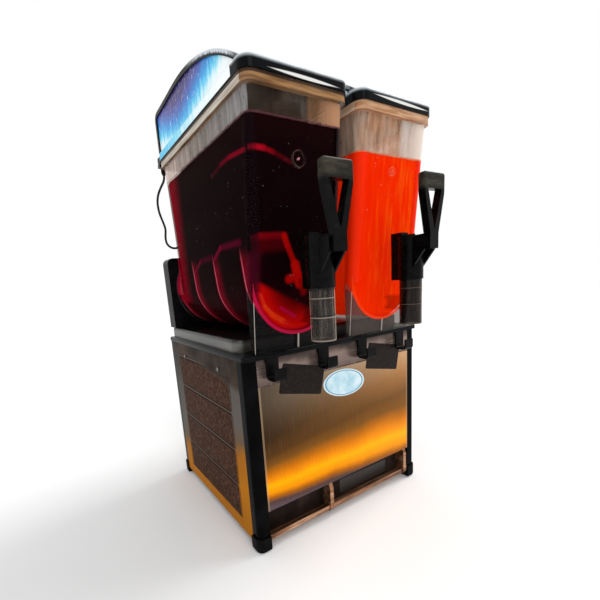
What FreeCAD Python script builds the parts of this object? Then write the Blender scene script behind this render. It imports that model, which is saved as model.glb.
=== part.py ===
import FreeCAD, Part
import math
import os
import re

import Sketcher
from FreeCAD import Placement, Rotation, Vector

# Twin-bowl slush machine, in millimetres. X runs to the right, Y to the back and Z up.
# Heights are measured from the floor. Depths in the formulas are measured from the middle
# of the cabinet, and every finished piece is shifted by originShift, so that the origin
# lies under the centre of the whole machine. Pieces that belong to one bowl are drawn about
# the bowl's own middle and stand at bowlOffset to the left or right. The pieces of a tap are
# drawn from the height of the spout that feeds it.

sizes = {
    # Cabinet
    "originShift": 42.5,
    "overrun": 1,
    "cabinetWidth": 400,
    "cabinetDepth": 362,
    "cabinetTop": 330,
    "sheetWall": 1.2,
    "postSide": 22,
    "postRadius": 9,
    "footHeight": 26,
    "footProud": 3,
    "footRounding": 5,
    "footStemRadius": 4,
    "footStemLength": 16,
    "stemClearance": 0.1,
    "sideBottom": 14,
    "slotWidth": 2.6,
    "slotPitch": 6.2,
    "slotColumns": 41,
    "slotRows": 4,
    "slotHeight": 58,
    "slotRowPitch": 67.3,
    "slotLowest": 37,
    "screwInset": 85,
    "screwHeight": 304,
    "rearScrewHeight": 35,
    "screwHeadRadius": 4,
    "screwHeadHeight": 2.2,
    "screwRadius": 2,
    "screwLength": 8,
    "screwClearance": 0.1,
    "panBottom": 18,
    "panWall": 1.5,
    "railHeight": 9,
    "kickSetback": 18,
    "frontBottom": 71,
    "frontTop": 286,
    "fasciaSeam": 0.6,
    "fasciaReturn": 16,
    "hoopWidth": 8,
    "hoopBottom": 12.5,
    "hoopProud": 3,
    "hoopTaper": 9,
    "hoopLeftX": -42,
    "hoopInset": 34,
    "ventColumns": 20,
    "ventPitch": 9,
    "ventWidth": 3,
    "ventHeight": 90,
    "ventRows": 2,
    "ventRowPitch": 110,
    "ventLowest": 90,
    "inletInset": 70,
    "inletHeight": 60,
    "inletWidth": 27,
    "inletTall": 20,
    "inletDepth": 18,
    "inletFlange": 2,
    "inletLip": 3,
    "inletWall": 1.5,
    "inletGap": 0.2,
    "inletBladeSpread": 6.75,
    "inletBladeRise": 2.5,
    "inletBladeInset": 6,
    # Tray, deck and hooks
    "trayOverhang": 1.5,
    "trayFrontOverhang": 6,
    "trayBackOverhang": 1,
    "trayHeight": 8.5,
    "trayCorner": 10,
    "trayRounding": 4,
    "deckInset": 7,
    "deckFront": -147,
    "deckTop": 360,
    "deckCorner": 16,
    "deckRounding": 6,
    "hookSpread": 52,
    "hookWidth": 22,
    "hookDrop": 34,
    "hookReach": 25,
    "hookWall": 3,
    "hookGap": 0.2,
    "hookLip": 20,
    # Blank cards on the front
    "cardWidth": 88,
    "cardHeight": 49.5,
    "cardWall": 0.8,
    "cardCorner": 3,
    "leftCardX": -91.8,
    "leftCardZ": 282,
    "leftCardTilt": 13.4,
    "rightCardX": 105.4,
    "rightCardZ": 286.3,
    "rightCardTilt": 11.6,
    "ovalX": 1.5,
    "ovalZ": 256.5,
    "ovalWidth": 100,
    "ovalHeight": 50,
    "ovalTilt": 7,
    # Tower behind the bowls
    "towerInset": 6,
    "towerFront": 146,
    "towerBack": 181,
    "towerTop": 512,
    "towerWall": 2,
    "towerCorner": 12,
    "coverMargin": 4,
    "coverWall": 2,
    "bulgeInset": 29,
    "bulgeBottom": 380,
    "bulgeDrop": 7,
    "bulgeBack": 205,
    "bulgeWall": 1.6,
    "bulgeVents": 8,
    "bulgeVentInset": 35,
    "bulgeVentLength": 35,
    "glandX": -135.5,
    "glandDepth": 163,
    "glandRadius": 6,
    "glandHeight": 4,
    # Mixing drive
    "bowlOffset": 98.5,
    "axisHeight": 444,
    "shaftRadius": 6,
    "shaftChamfer": 1,
    "shaftFront": -160,
    "shaftBack": 172,
    "runningFit": 0.05,
    "gearboxWidth": 80,
    "gearboxHeight": 100,
    "gearboxFront": 150,
    "gearboxBack": 180,
    "motorRadius": 35,
    "motorBack": 202,
    "standoffRadius": 5,
    "standoffInset": 8,
    "drumRadius": 52,
    "drumWall": 2,
    "drumNose": 6,
    "drumFront": -140,
    "flangeRadius": 70,
    "flangeWall": 6,
    "shaftTubeRadius": 10,
    "gasketInner": 72,
    "augerInner": 54.5,
    "augerOuter": 75,
    "augerPitch": 101,
    "augerFront": -153,
    "augerBack": 134,
    "augerWall": 3,
    "augerPhase": 118,
    "hubRadius": 15,
    "hubLength": 12,
    "armWidth": 9,
    "armHeight": 9,
    "paddleLength": 18,
    # Bowls
    "bowlHalf": 82.5,
    "bowlWall": 3,
    "bowlCorner": 14,
    "bowlFootY": -184,
    "bowlLeanAngle": 6,
    "bowlBackLow": 112,
    "bowlBackHigh": 137,
    "seatGap": 0.3,
    "skirtDepth": 20,
    "ribHalf": 1.5,
    "rimBottom": 689,
    "rimTop": 702,
    "rimHalf": 87.5,
    "rimFront": -226,
    "rimBack": 142,
    "rimCorner": 16,
    "bossHeight": 611,
    "bossRadius": 10,
    "bossWire": 1.5,
    "spoutHeight": 392,
    "spoutRadius": 14,
    "spoutBore": 11,
    "spoutOverrun": 6,
    "tapDepth": -248,
    "nozzleRadius": 18,
    "nozzleBore": 15,
    "nozzleDrop": 36,
    "nozzleRise": 39,
    "leftLevel": 658,
    "rightLevel": 634,
    "drinkGap": 0.25,
    "sweepGap": 1.2,
    "drinkFront": -163,
    # Lids
    "lidHalf": 88.5,
    "lidFront": -228,
    "lidBack": 144,
    "lidCorner": 17,
    "lidRounding": 5,
    "lidHeight": 17,
    "lidPlate": 3,
    "lidLipDrop": 6,
    "lidLipWall": 3,
    "lidLipGap": 0.6,
    "coverHalf": 86,
    "archWall": 7,
    "archFrontY": -214,
    "archKneeY": -107,
    "archKneeZ": 774.7,
    "archCrestY": 19,
    "archCrestZ": 791.7,
    "archBackY": 138,
    "archBackZ": 789.5,
    "archLowRadius": 340,
    "archHighRadius": 415,
    "archBackRadius": 14,
    "archBackDip": 0.2,
    "lightPanelInset": 3,
    "lightPanelWall": 3,
    "lampRadius": 8,
    "lampHeight": 740,
    "lampFront": -130,
    "lampBack": 100,
    "lampHolderWidth": 12,
    "lampHolderInset": 20,
    "socketLeft": -86,
    "socketRight": -69,
    "socketBack": 157,
    "socketAxisX": -77.5,
    "socketAxisY": 150,
    # Taps, their heights measured from the middle of the spout
    "tapRadius": 20,
    "tapTop": 111,
    "columnHalf": 9,
    "columnFront": -236,
    "columnBack": -214,
    "columnTop": 117,
    "tapBore": 15.05,
    "ledgeBottom": 78,
    "ledgeTop": 82,
    "ledgeBore": 6.5,
    "chamberHalf": 11,
    "chamberBack": -237,
    "earWall": 3.5,
    "earFront": -283.5,
    "earTop": 105.5,
    "earLow": 85,
    "earRootFront": -262,
    "earRootBack": -250,
    "earBottom": 58,
    "pivotY": -272,
    "pivotZ": 96,
    "pinRadius": 2.5,
    "pinChamfer": 0.5,
    "leverFront": -291,
    "leverWall": 12,
    "leverStemHalf": 10.5,
    "leverStemBack": -262,
    "leverStemLow": 85,
    "leverNeck": 109,
    "gripHalf": 26,
    "gripLow": 177,
    "gripTop": 197,
    "gripCorner": 5,
    "gripRounding": 3,
    "windowHalf": 17,
    "windowTop": 173,
    "windowApex": 113,
    "tineInner": 7,
    "noseRadius": 3,
    "noseDrop": 1.5,
    "pistonRadius": 14.9,
    "pistonBottom": -14,
    "pistonShoulder": 58,
    "pistonStem": 6,
    "collarRadius": 10,
    "collarHeight": 6,
    "collarGap": 0.5,
    "sealWire": 1.1,
    "sealLow": -5,
    "sealHigh": 18,
    "grooveHalf": 1.3,
    "grooveDepth": 2.3,
    "springRadius": 10,
    "springWire": 0.8,
    "springTurns": 3.5,
    # Cooling set inside the cabinet
    "compressorX": 95,
    "compressorY": -55,
    "compressorRadius": 55,
    "compressorBottom": 34,
    "compressorTop": 165,
    "compressorRounding": 24,
    "compressorPlate": 3,
    "compressorPlateHalf": 62,
    "isolatorRadius": 9,
    "stubRadius": 6,
    "stubLength": 14,
    "stubSpread": 18,
    "condenserGap": 8.8,
    "condenserDepth": 26,
    "condenserHalf": 108,
    "condenserTop": 262,
    "condenserPlate": 2,
    "finWall": 0.8,
    "finPitch": 9,
    "finCount": 23,
    "coilRadius": 5,
    "coilRows": 7,
    "coilPitch": 32,
    "coilLowest": 44,
    "fanHeight": 140,
    "fanRadius": 88,
    "fanHub": 20,
    "fanGap": 12,
    "fanDepth": 22,
    "fanBladeWall": 2,
    "fanBladeWidth": 36,
    "fanBladeRoot": 12,
    "fanBladeCorner": 5,
    "fanBlades": 5,
    "fanPitchAngle": 24,
    "fanShaftRadius": 4,
    "fanMotorGap": 38,
    "fanMotorLength": 46,
    "fanMotorRadius": 34,
    "fanStandHalf": 26,
    "fanStandWall": 4,
    "pipeRadius": 3.5,
    "riserOffset": 46,
    "riserDepth": 165,
    "pipeTurn": 30,
    "pipeRun": 285,
    "pipeHoleGap": 2.5,
    # Switches on the tower's back
    "switchOffset": 22,
    "switchHeight": 455,
    "rockerRadius": 10,
    "rockerHalf": 5,
    "rockerAxisY": 199,
    "rockerGap": 0.4,
    "rockerTilt": 10,
    "rockerPinRadius": 1.5,
    "rockerPinHalf": 6.5,
    "switchWall": 1.6,
    "switchBezel": 1.5,
    # Lamp lead
    "leadRadius": 2.3,
    "plugRadius": 5,
    "plugLength": 14,
    "plugNeckRadius": 3.2,
    "plugShoulder": 9.4,
    "plugChamfer": 1.2,
}

os.makedirs("parts", exist_ok=True)
doc = FreeCAD.newDocument("SlushMachine")
sheet = doc.addObject("Spreadsheet::Sheet", "Sizes")
for row, (alias, size) in enumerate(sizes.items(), 1):
    sheet.set(f"A{row}", alias)
    sheet.set(f"B{row}", str(size))
    sheet.setAlias(f"B{row}", alias)
doc.recompute()

nodes = []


# Formulas and bindings


def formula(text):
    """Point every size name in a formula at its cell."""
    return re.sub(r"[A-Za-z]\w*",
                  lambda word: "Sizes." + word[0] if word[0] in sizes else word[0], str(text))


def value(text):
    """The number that a formula gives."""
    return float(sheet.evalExpression(formula(text)))


def bind(thing, rules):
    """Bind properties of an object to formulas."""
    for path, text in rules.items():
        thing.setExpression(path, formula(text))
    return thing


def node(thing, label, x="0", y="0", z="0"):
    """Name a finished sub-part and put it in its place."""
    thing.Label = label
    bind(thing, {
        "Placement.Base.x": x,
        "Placement.Base.y": f"{y} + originShift",
        "Placement.Base.z": z,
    })
    nodes.append(thing)
    return thing


# Solids from primitives. A span is a pair of formulas, low end first.


AXIS_TURNS = {
    "X": Rotation(Vector(0, 1, 0), 90),
    "Y": Rotation(Vector(1, 0, 0), -90),
    "Z": Rotation(),
}
PLANE_TURNS = {
    "XY": Rotation(),
    "XZ": Rotation(Vector(1, 0, 0), 90),
    "YZ": Rotation(Vector(1, 1, 1), 120),
}


def box(name, xSpan, ySpan, zSpan):
    """A block between three spans."""
    return bind(doc.addObject("Part::Box", name), {
        "Length": f"({xSpan[1]}) - ({xSpan[0]})",
        "Width": f"({ySpan[1]}) - ({ySpan[0]})",
        "Height": f"({zSpan[1]}) - ({zSpan[0]})",
        "Placement.Base.x": xSpan[0],
        "Placement.Base.y": ySpan[0],
        "Placement.Base.z": zSpan[0],
    })


def base(axis, centre, start):
    """Base point of a solid of revolution along an axis."""
    if axis == "X":
        return start, centre[0], centre[1]
    if axis == "Y":
        return centre[0], start, centre[1]
    return centre[0], centre[1], start


def seat(thing, axis, centre, start):
    """Turn a solid of revolution to its axis and bind where it starts."""
    thing.Placement = Placement(Vector(), AXIS_TURNS[axis])
    x, y, z = base(axis, centre, start)
    return bind(thing, {"Placement.Base.x": x, "Placement.Base.y": y, "Placement.Base.z": z})


def rod(name, axis, centre, span, radius):
    """A cylinder along an axis, its centre given by the other two coordinates."""
    thing = seat(doc.addObject("Part::Cylinder", name), axis, centre, span[0])
    return bind(thing, {"Radius": radius, "Height": f"({span[1]}) - ({span[0]})"})


def ring(name, axis, centre, level, radius, wire):
    """A torus about an axis."""
    thing = seat(doc.addObject("Part::Torus", name), axis, centre, level)
    return bind(thing, {"Radius1": radius, "Radius2": wire})


def fuse(name, things):
    """Join solids into one."""
    joined = doc.addObject("Part::MultiFuse", name)
    joined.Shapes = things
    joined.Refine = True
    return joined


def cut(name, whole, tools):
    """Take one or more solids away from another."""
    result = doc.addObject("Part::Cut", name)
    result.Base = whole
    result.Tool = tools[0] if len(tools) == 1 else fuse(name + "Tools", tools)
    result.Refine = True
    return result


def common(name, first, second):
    """What two solids share."""
    result = doc.addObject("Part::Common", name)
    result.Base = first
    result.Tool = second
    return result


def group(name, things):
    """Several separate solids as one object."""
    gathered = doc.addObject("Part::Compound", name)
    gathered.Links = things
    return gathered


def rounded(name, whole, radius, chosen):
    """Round the chosen edges of a solid."""
    doc.recompute()
    result = doc.addObject("Part::Fillet", name)
    result.Base = whole
    size = value(radius)
    result.Edges = [(i, size, size) for i, edge in enumerate(whole.Shape.Edges, 1) if chosen(edge)]
    return result


# Sketched outlines. A corner is (across, up) or (across, up, radius), where the radius makes
# the way to the next corner an arc: positive turns left, negative turns right.


def arcBetween(first, second, radius):
    """An arc from one spot to another with a given radius."""
    way = second - first
    reach = math.sqrt(max(radius * radius - way.Length ** 2 / 4, 0))
    left = Vector(-way.y, way.x, 0).normalize()
    centre = (first + second) * 0.5 + left * math.copysign(reach, radius)
    angles = [math.atan2(spot.y - centre.y, spot.x - centre.x) for spot in (first, second)]
    if radius < 0:
        angles.reverse()
    return Part.ArcOfCircle(Part.Circle(centre, Vector(0, 0, 1), abs(radius)), angles[0], angles[1])


def drawOutline(sketch, corners):
    """Draw a closed outline and bind every corner and radius."""
    spots = [Vector(value(corner[0]), value(corner[1]), 0) for corner in corners]
    ends = []
    for index, corner in enumerate(corners):
        first, second = spots[index], spots[(index + 1) % len(spots)]
        radius = value(corner[2]) if len(corner) == 3 else 0
        sketch.addGeometry(arcBetween(first, second, radius) if radius else Part.LineSegment(first, second))
        ends.append((2, 1) if radius < 0 else (1, 2))
    for index, corner in enumerate(corners):
        before = index - 1 if index else len(corners) - 1
        start = ends[index][0]
        sketch.addConstraint(Sketcher.Constraint("Coincident", before, ends[before][1], index, start))
        for kind, text in (("DistanceX", corner[0]), ("DistanceY", corner[1])):
            number = sketch.addConstraint(Sketcher.Constraint(kind, -1, 1, index, start, value(text)))
            sketch.setExpression(f"Constraints[{number}]", formula(text))
        if len(corner) == 3:
            size = f"abs({corner[2]})"
            number = sketch.addConstraint(Sketcher.Constraint("Radius", index, value(size)))
            sketch.setExpression(f"Constraints[{number}]", formula(size))


def rectangle(xSpan, ySpan, radius=None):
    """Outline of a rectangle, with round corners if a radius is given."""
    (left, right), (low, high) = xSpan, ySpan
    if radius is None:
        return [(left, low), (right, low), (right, high), (left, high)]
    return [
        (f"{left} + ({radius})", low), (f"{right} - ({radius})", low, radius),
        (right, f"{low} + ({radius})"), (right, f"{high} - ({radius})", radius),
        (f"{right} - ({radius})", high), (f"{left} + ({radius})", high, radius),
        (left, f"{high} - ({radius})"), (left, f"{low} + ({radius})", radius),
    ]


def prism(name, plane, corners, span):
    """An outline in a plane, drawn out across a span of the third axis."""
    sketch = doc.addObject("Sketcher::SketchObject", name + "Outline")
    sketch.Placement = Placement(Vector(), PLANE_TURNS[plane])
    normal = {"XY": "z", "XZ": "y", "YZ": "x"}[plane]
    bind(sketch, {f"Placement.Base.{normal}": span[1] if plane == "XZ" else span[0]})
    drawOutline(sketch, corners)
    solid = doc.addObject("Part::Extrusion", name)
    solid.Base = sketch
    solid.DirMode = "Normal"
    solid.Solid = True
    return bind(solid, {"LengthFwd": f"({span[1]}) - ({span[0]})"})


# Bodies made from features


def newBody(name):
    """An empty body."""
    return doc.addObject("PartDesign::Body", name)


def originPlane(body, plane):
    """One of a body's own base planes."""
    return next(item for item in body.Origin.OriginFeatures if item.Role == plane + "_Plane")


def bodySketch(body, plane, corners, level):
    """A bound outline on a base plane of a body, moved along the plane's normal."""
    sketch = body.newObject("Sketcher::SketchObject", body.Name + "Outline")
    sketch.AttachmentSupport = [(originPlane(body, plane), "")]
    sketch.MapMode = "FlatFace"
    bind(sketch, {"AttachmentOffset.Base.z": level})
    drawOutline(sketch, corners)
    return sketch


def pad(body, plane, corners, span):
    """Add an outline drawn out across a span."""
    level = f"-({span[1]})" if plane == "XZ" else span[0]
    sketch = bodySketch(body, plane, corners, level)
    feature = body.newObject("PartDesign::Pad", body.Name + "Pad")
    feature.Profile = sketch
    return bind(feature, {"Length": f"({span[1]}) - ({span[0]})"})


def pocket(body, plane, corners, span):
    """Take away an outline drawn out across a span."""
    level = f"-({span[0]})" if plane == "XZ" else span[1]
    sketch = bodySketch(body, plane, corners, level)
    feature = body.newObject("PartDesign::Pocket", body.Name + "Pocket")
    feature.Profile = sketch
    return bind(feature, {"Length": f"({span[1]}) - ({span[0]})"})


def turned(name, corners):
    """A body turned about its own Z axis from an outline of (radius, height)."""
    body = newBody(name)
    sketch = bodySketch(body, "XZ", corners, "0")
    feature = body.newObject("PartDesign::Revolution", name + "Turn")
    feature.Profile = sketch
    feature.ReferenceAxis = (sketch, ["V_Axis"])
    feature.Angle = 360
    return body


def bore(body, axis, centre, span, radius):
    """Take a round hole out of a body."""
    feature = body.newObject("PartDesign::SubtractiveCylinder", body.Name + "Bore")
    feature.MapMode = "Deactivated"
    seat(feature, axis, centre, span[0])
    return bind(feature, {"Radius": radius, "Height": f"({span[1]}) - ({span[0]})"})


def stud(body, axis, centre, span, radius):
    """Add a round stud to a body."""
    feature = body.newObject("PartDesign::AdditiveCylinder", body.Name + "Stud")
    feature.MapMode = "Deactivated"
    seat(feature, axis, centre, span[0])
    return bind(feature, {"Radius": radius, "Height": f"({span[1]}) - ({span[0]})"})


def roundEdges(body, radius, chosen):
    """Round the chosen edges of a body."""
    doc.recompute()
    tip = body.Tip
    names = [f"Edge{i}" for i, edge in enumerate(tip.Shape.Edges, 1) if chosen(edge)]
    feature = body.newObject("PartDesign::Fillet", body.Name + "Rounding")
    feature.Base = (tip, names)
    return bind(feature, {"Radius": radius})


def repeat(body, feature, counts, lengths):
    """Repeat a feature along the two axes of its own sketch."""
    sketch = feature.Profile[0]
    pattern = body.newObject("PartDesign::MultiTransform", body.Name + "Pattern")
    pattern.Originals = [feature]
    steps = []
    for axis, count, length in zip(("H_Axis", "V_Axis"), counts, lengths):
        step = body.newObject("PartDesign::LinearPattern", body.Name + "Row")
        step.Direction = (sketch, [axis])
        steps.append(bind(step, {"Length": length, "Occurrences": count}))
    pattern.Transformations = steps
    body.Tip = pattern
    return pattern


# Edge choosers


def level(edge, text):
    """Whether an edge lies at one height."""
    height = value(text)
    return abs(edge.BoundBox.ZMin - height) < 1e-4 and abs(edge.BoundBox.ZMax - height) < 1e-4


def upright(edge):
    """Whether an edge climbs without running sideways."""
    return edge.BoundBox.XLength < 1e-4 and edge.BoundBox.ZLength > edge.BoundBox.YLength


# Places that several pieces share


halfWidth = "(cabinetWidth / 2)"
halfDepth = "(cabinetDepth / 2)"
postInnerX = "(cabinetWidth / 2 - postSide)"
postInnerY = "(cabinetDepth / 2 - postSide)"
panelInnerX = "(cabinetWidth / 2 - sheetWall)"
panTop = "(panBottom + panWall)"
kickFront = "(-cabinetDepth / 2 + kickSetback)"
trayTop = "(cabinetTop + trayHeight)"
lidTop = "(rimTop + lidHeight)"
bowlEnd = "(towerFront - flangeWall - seatGap)"
tapAxis = ("0", "tapDepth")
pivot = ("pivotY", "pivotZ")
hoopRight = "(cabinetWidth / 2 - hoopInset)"
inletX = "(cabinetWidth / 2 - inletInset)"
deckHalf = "(cabinetWidth / 2 - deckInset)"
towerHalf = "(cabinetWidth / 2 - towerInset)"
bulgeHalf = f"({towerHalf} - bulgeInset)"
bulgeTop = "(towerTop - bulgeDrop)"
bulgeVentX = f"({bulgeHalf} - bulgeVentInset)"
condenserLeft = f"(-{panelInnerX} + condenserGap)"
condenserRight = f"({condenserLeft} + condenserDepth)"
fanFront = f"({condenserRight} + fanGap)"
fanMotorLeft = f"({condenserRight} + fanMotorGap)"
fanMotorRight = f"({fanMotorLeft} + fanMotorLength)"
HANDS = ((-1, "left"), (1, "right"))
SPRING_SIDES = 8

# Where the lamp lead hangs, from the plug down to the gland on the tower.
LEAD_ROUTE = (
    (-176.2, 150.2, 672.5), (-186, 151.8, 657.5), (-194, 153.5, 641), (-196.5, 154.5, 624),
    (-194.5, 155.5, 606), (-189, 156.5, 590), (-184.5, 157.3, 574), (-187.2, 158, 560),
    (-187.2, 158.5, 547.8), (-182.7, 159.5, 540), (-175.1, 160.5, 535.2), (-165.6, 161.5, 534.5),
    (-156.8, 162.5, 538.1), (-147.8, 163, 537.8), (-140, 163, 533.3), (-135.5, 163, 525.5),
)


def station(side):
    """X of a bowl's middle."""
    return f"{side} * bowlOffset"


def frontAt(height, inset="0"):
    """Depth of a bowl's leaning front face at a height, or of a face set in behind it."""
    return f"(bowlFootY - ({height} - {trayTop}) * tan(bowlLeanAngle) + {inset})"


# Cabinet


def makePostsAndFeet():
    """Four corner posts on rubber feet whose stems stand in the posts."""
    posts, feet = [], []
    for across, along in ((-1, -1), (1, -1), (1, 1), (-1, 1)):
        post = newBody("Post")
        foot = newBody("Foot")
        for body, proud, span in (
            (post, "0", ("footHeight", "cabinetTop")),
            (foot, "footProud", ("0", "footHeight")),
        ):
            outerX, outerY = f"({halfWidth} + {proud})", f"({halfDepth} + {proud})"
            radius = f"(postRadius + {proud})"
            turn = radius if across * along > 0 else f"-{radius}"
            pad(body, "XY", [
                (f"{across} * {postInnerX}", f"{along} * {postInnerY}"),
                (f"{across} * {outerX}", f"{along} * {postInnerY}"),
                (f"{across} * {outerX}", f"{along} * ({outerY} - {radius})", turn),
                (f"{across} * ({outerX} - {radius})", f"{along} * {outerY}"),
                (f"{across} * {postInnerX}", f"{along} * {outerY}"),
            ], span)
        centre = (f"{across} * ({halfWidth} - postSide / 2)", f"{along} * ({halfDepth} - postSide / 2)")
        bore(post, "Z", centre, ("footHeight", "footHeight + footStemLength"),
             "footStemRadius + stemClearance")
        stud(foot, "Z", centre, ("footHeight", "footHeight + footStemLength - stemClearance"),
             "footStemRadius")
        roundEdges(foot, "footRounding", lambda edge: level(edge, "0"))
        posts.append(post)
        feet.append(foot)
    node(group("CornerPosts", posts), "corner_posts")
    node(group("Feet", feet), "feet")


def makeSidePanel(side, hand):
    """A side sheet between the posts, with four rows of upright slots."""
    body = newBody("SidePanel" + hand)
    span = (panelInnerX, halfWidth) if side > 0 else (f"-{halfWidth}", f"-{panelInnerX}")
    pad(body, "YZ", rectangle((f"-{postInnerY}", postInnerY), ("sideBottom", "cabinetTop")), span)
    for along in (-1, 1):
        bore(body, "X", (f"{along} * screwInset", "screwHeight"), span, "screwRadius + screwClearance")
    firstY = "(-(slotColumns - 1) * slotPitch / 2 - slotWidth / 2)"
    slot = pocket(body, "YZ", rectangle(
        (firstY, f"{firstY} + slotWidth"), ("slotLowest", "slotLowest + slotHeight")), span)
    repeat(body, slot, ("slotColumns", "slotRows"),
           ("(slotColumns - 1) * slotPitch", "(slotRows - 1) * slotRowPitch"))
    node(body, "side_panel_" + hand)


def makeFrontPanel():
    """The stainless front sheet, folded back at its foot to the kick plate."""
    body = newBody("FrontPanel")
    front = f"-{halfDepth}"
    pad(body, "YZ", [
        (front, "frontBottom"), (kickFront, "frontBottom"), (kickFront, "frontBottom + sheetWall"),
        (f"{front} + sheetWall", "frontBottom + sheetWall"), (f"{front} + sheetWall", "frontTop"),
        (front, "frontTop"),
    ], (f"-{postInnerX}", postInnerX))
    node(body, "front_panel")


def makeFascia():
    """The narrow strip over the front panel, folded back under the tray."""
    body = newBody("FrontFascia")
    front = f"-{halfDepth}"
    pad(body, "YZ", [
        (front, "frontTop + fasciaSeam"), (f"{front} + sheetWall", "frontTop + fasciaSeam"),
        (f"{front} + sheetWall", "cabinetTop - sheetWall"),
        (f"{front} + fasciaReturn", "cabinetTop - sheetWall"),
        (f"{front} + fasciaReturn", "cabinetTop"), (front, "cabinetTop"),
    ], (f"-{postInnerX}", postInnerX))
    node(body, "front_fascia")


def makeKickPlate():
    """The dark plate set back under the front panel."""
    body = newBody("KickPlate")
    pad(body, "XZ", rectangle((f"-{postInnerX}", postInnerX), (panTop, "frontBottom + sheetWall")),
        (kickFront, f"{kickFront} + sheetWall"))
    node(body, "kick_plate")


def makeBasePan():
    """The floor sheet with its front rail and two upright hoops."""
    backEdge = f"({halfDepth} - sheetWall)"
    across = box("PanAcross", (f"-{panelInnerX}", panelInnerX), (f"-{postInnerY}", postInnerY),
                 ("panBottom", panTop))
    along = box("PanAlong", (f"-{postInnerX}", postInnerX), (f"-{halfDepth}", backEdge),
                ("panBottom", panTop))
    rail = box("PanRail", (f"-{postInnerX}", postInnerX), (f"-{halfDepth}", f"-{halfDepth} + panWall"),
               ("panBottom", "panBottom + railHeight"))
    pieces = [across, along, rail]
    front = f"(-{halfDepth} - hoopProud)"
    reach = f"(({kickFront} - {front}) / 2)"
    for name, middle in (("Left", "hoopLeftX"), ("Right", hoopRight)):
        pieces.append(prism("Hoop" + name, "YZ", [
            (front, f"hoopBottom + {reach}", reach), (f"{front} + {reach}", "hoopBottom", reach),
            (kickFront, f"hoopBottom + {reach}"),
            (kickFront, "frontBottom"), (f"{front} + hoopProud", "frontBottom"),
            (front, "frontBottom - hoopTaper"),
        ], (f"{middle} - hoopWidth / 2", f"{middle} + hoopWidth / 2")))
    node(fuse("BasePan", pieces), "base_pan")


def makeRearPanel():
    """The back sheet with vents and the cut-out for the mains inlet."""
    body = newBody("RearPanel")
    span = (f"{halfDepth} - sheetWall", halfDepth)
    pad(body, "XZ", rectangle((f"-{postInnerX}", postInnerX), ("sideBottom", "cabinetTop")), span)
    pocket(body, "XZ", rectangle(
        (f"{inletX} - inletWidth / 2 - inletGap", f"{inletX} + inletWidth / 2 + inletGap"),
        ("inletHeight - inletTall / 2 - inletGap", "inletHeight + inletTall / 2 + inletGap")), span)
    for along in (-1, 1):
        for height in ("rearScrewHeight", "screwHeight"):
            bore(body, "Y", (f"{along} * ({postInnerX} - postSide)", height), span,
                 "screwRadius + screwClearance")
    firstX = "(-(ventColumns - 1) * ventPitch / 2 - ventWidth / 2)"
    slot = pocket(body, "XZ", rectangle(
        (firstX, f"{firstX} + ventWidth"), ("ventLowest", "ventLowest + ventHeight")), span)
    repeat(body, slot, ("ventColumns", "ventRows"),
           ("(ventColumns - 1) * ventPitch", "(ventRows - 1) * ventRowPitch"))
    node(body, "rear_panel")


def screw(axis, outward, x, y, z):
    """A round-headed screw whose head sits on the sheet at the given place."""
    body = turned("Screw", [
        ("0", "-screwLength"), ("screwRadius", "-screwLength"), ("screwRadius", "0"),
        ("screwHeadRadius", "0"), ("screwHeadRadius", "screwHeadHeight / 2"),
        ("screwHeadRadius / 2", "screwHeadHeight"), ("0", "screwHeadHeight"),
    ])
    body.Placement = Placement(Vector(), Rotation(Vector(0, 0, 1), Vector(*outward)))
    return bind(body, {"Placement.Base.x": x, "Placement.Base.y": y, "Placement.Base.z": z})


def makeScrews():
    """Screws that hold the side sheets and the back sheet."""
    screws = []
    for side in (-1, 1):
        for along in (-1, 1):
            screws.append(screw("X", (side, 0, 0), f"{side} * {halfWidth}", f"{along} * screwInset",
                                "screwHeight"))
        for height in ("rearScrewHeight", "screwHeight"):
            screws.append(screw("Y", (0, 1, 0), f"{side} * ({postInnerX} - postSide)", halfDepth, height))
    node(group("PanelScrews", screws), "panel_screws")


def makeMainsInlet():
    """A recessed mains inlet with three blades, snapped into the back sheet."""
    def around(grow):
        return rectangle(
            (f"{inletX} - inletWidth / 2 - ({grow})", f"{inletX} + inletWidth / 2 + ({grow})"),
            (f"inletHeight - inletTall / 2 - ({grow})", f"inletHeight + inletTall / 2 + ({grow})"))

    body = newBody("MainsInlet")
    pad(body, "XZ", around("0"), (f"{halfDepth} - inletDepth", halfDepth))
    pad(body, "XZ", around("inletLip"), (halfDepth, f"{halfDepth} + inletFlange"))
    pocket(body, "XZ", around("-inletWall"),
           (f"{halfDepth} - inletDepth + inletWall", f"{halfDepth} + inletFlange"))
    for across, up in ((-1, -1), (0, 1), (1, -1)):
        bladeX = f"{inletX} + {across} * inletBladeSpread"
        bladeZ = f"inletHeight + {up} * inletBladeRise"
        pad(body, "XZ", rectangle(
            (f"{bladeX} - inletWall / 2", f"{bladeX} + inletWall / 2"),
            (f"{bladeZ} - inletWall", f"{bladeZ} + inletWall")),
            (f"{halfDepth} - inletDepth + inletWall", f"{halfDepth} - inletBladeInset"))
    node(body, "mains_inlet")


# Tray, deck and what hangs on the front


def makeTray():
    """The flat black tray that closes the cabinet."""
    body = newBody("TopTray")
    pad(body, "XY", rectangle(
        (f"-{halfWidth} - trayOverhang", f"{halfWidth} + trayOverhang"),
        (f"-{halfDepth} - trayFrontOverhang", f"{halfDepth} + trayBackOverhang"), "trayCorner"),
        ("cabinetTop", trayTop))
    roundEdges(body, "trayRounding", lambda edge: level(edge, trayTop))
    for side in (-1, 1):
        for offset in (-1, 1):
            bore(body, "Z", (f"{side} * bowlOffset + {offset} * riserOffset", "riserDepth"),
                 ("cabinetTop", trayTop), "pipeRadius + pipeHoleGap")
    node(body, "top_tray")


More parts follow.
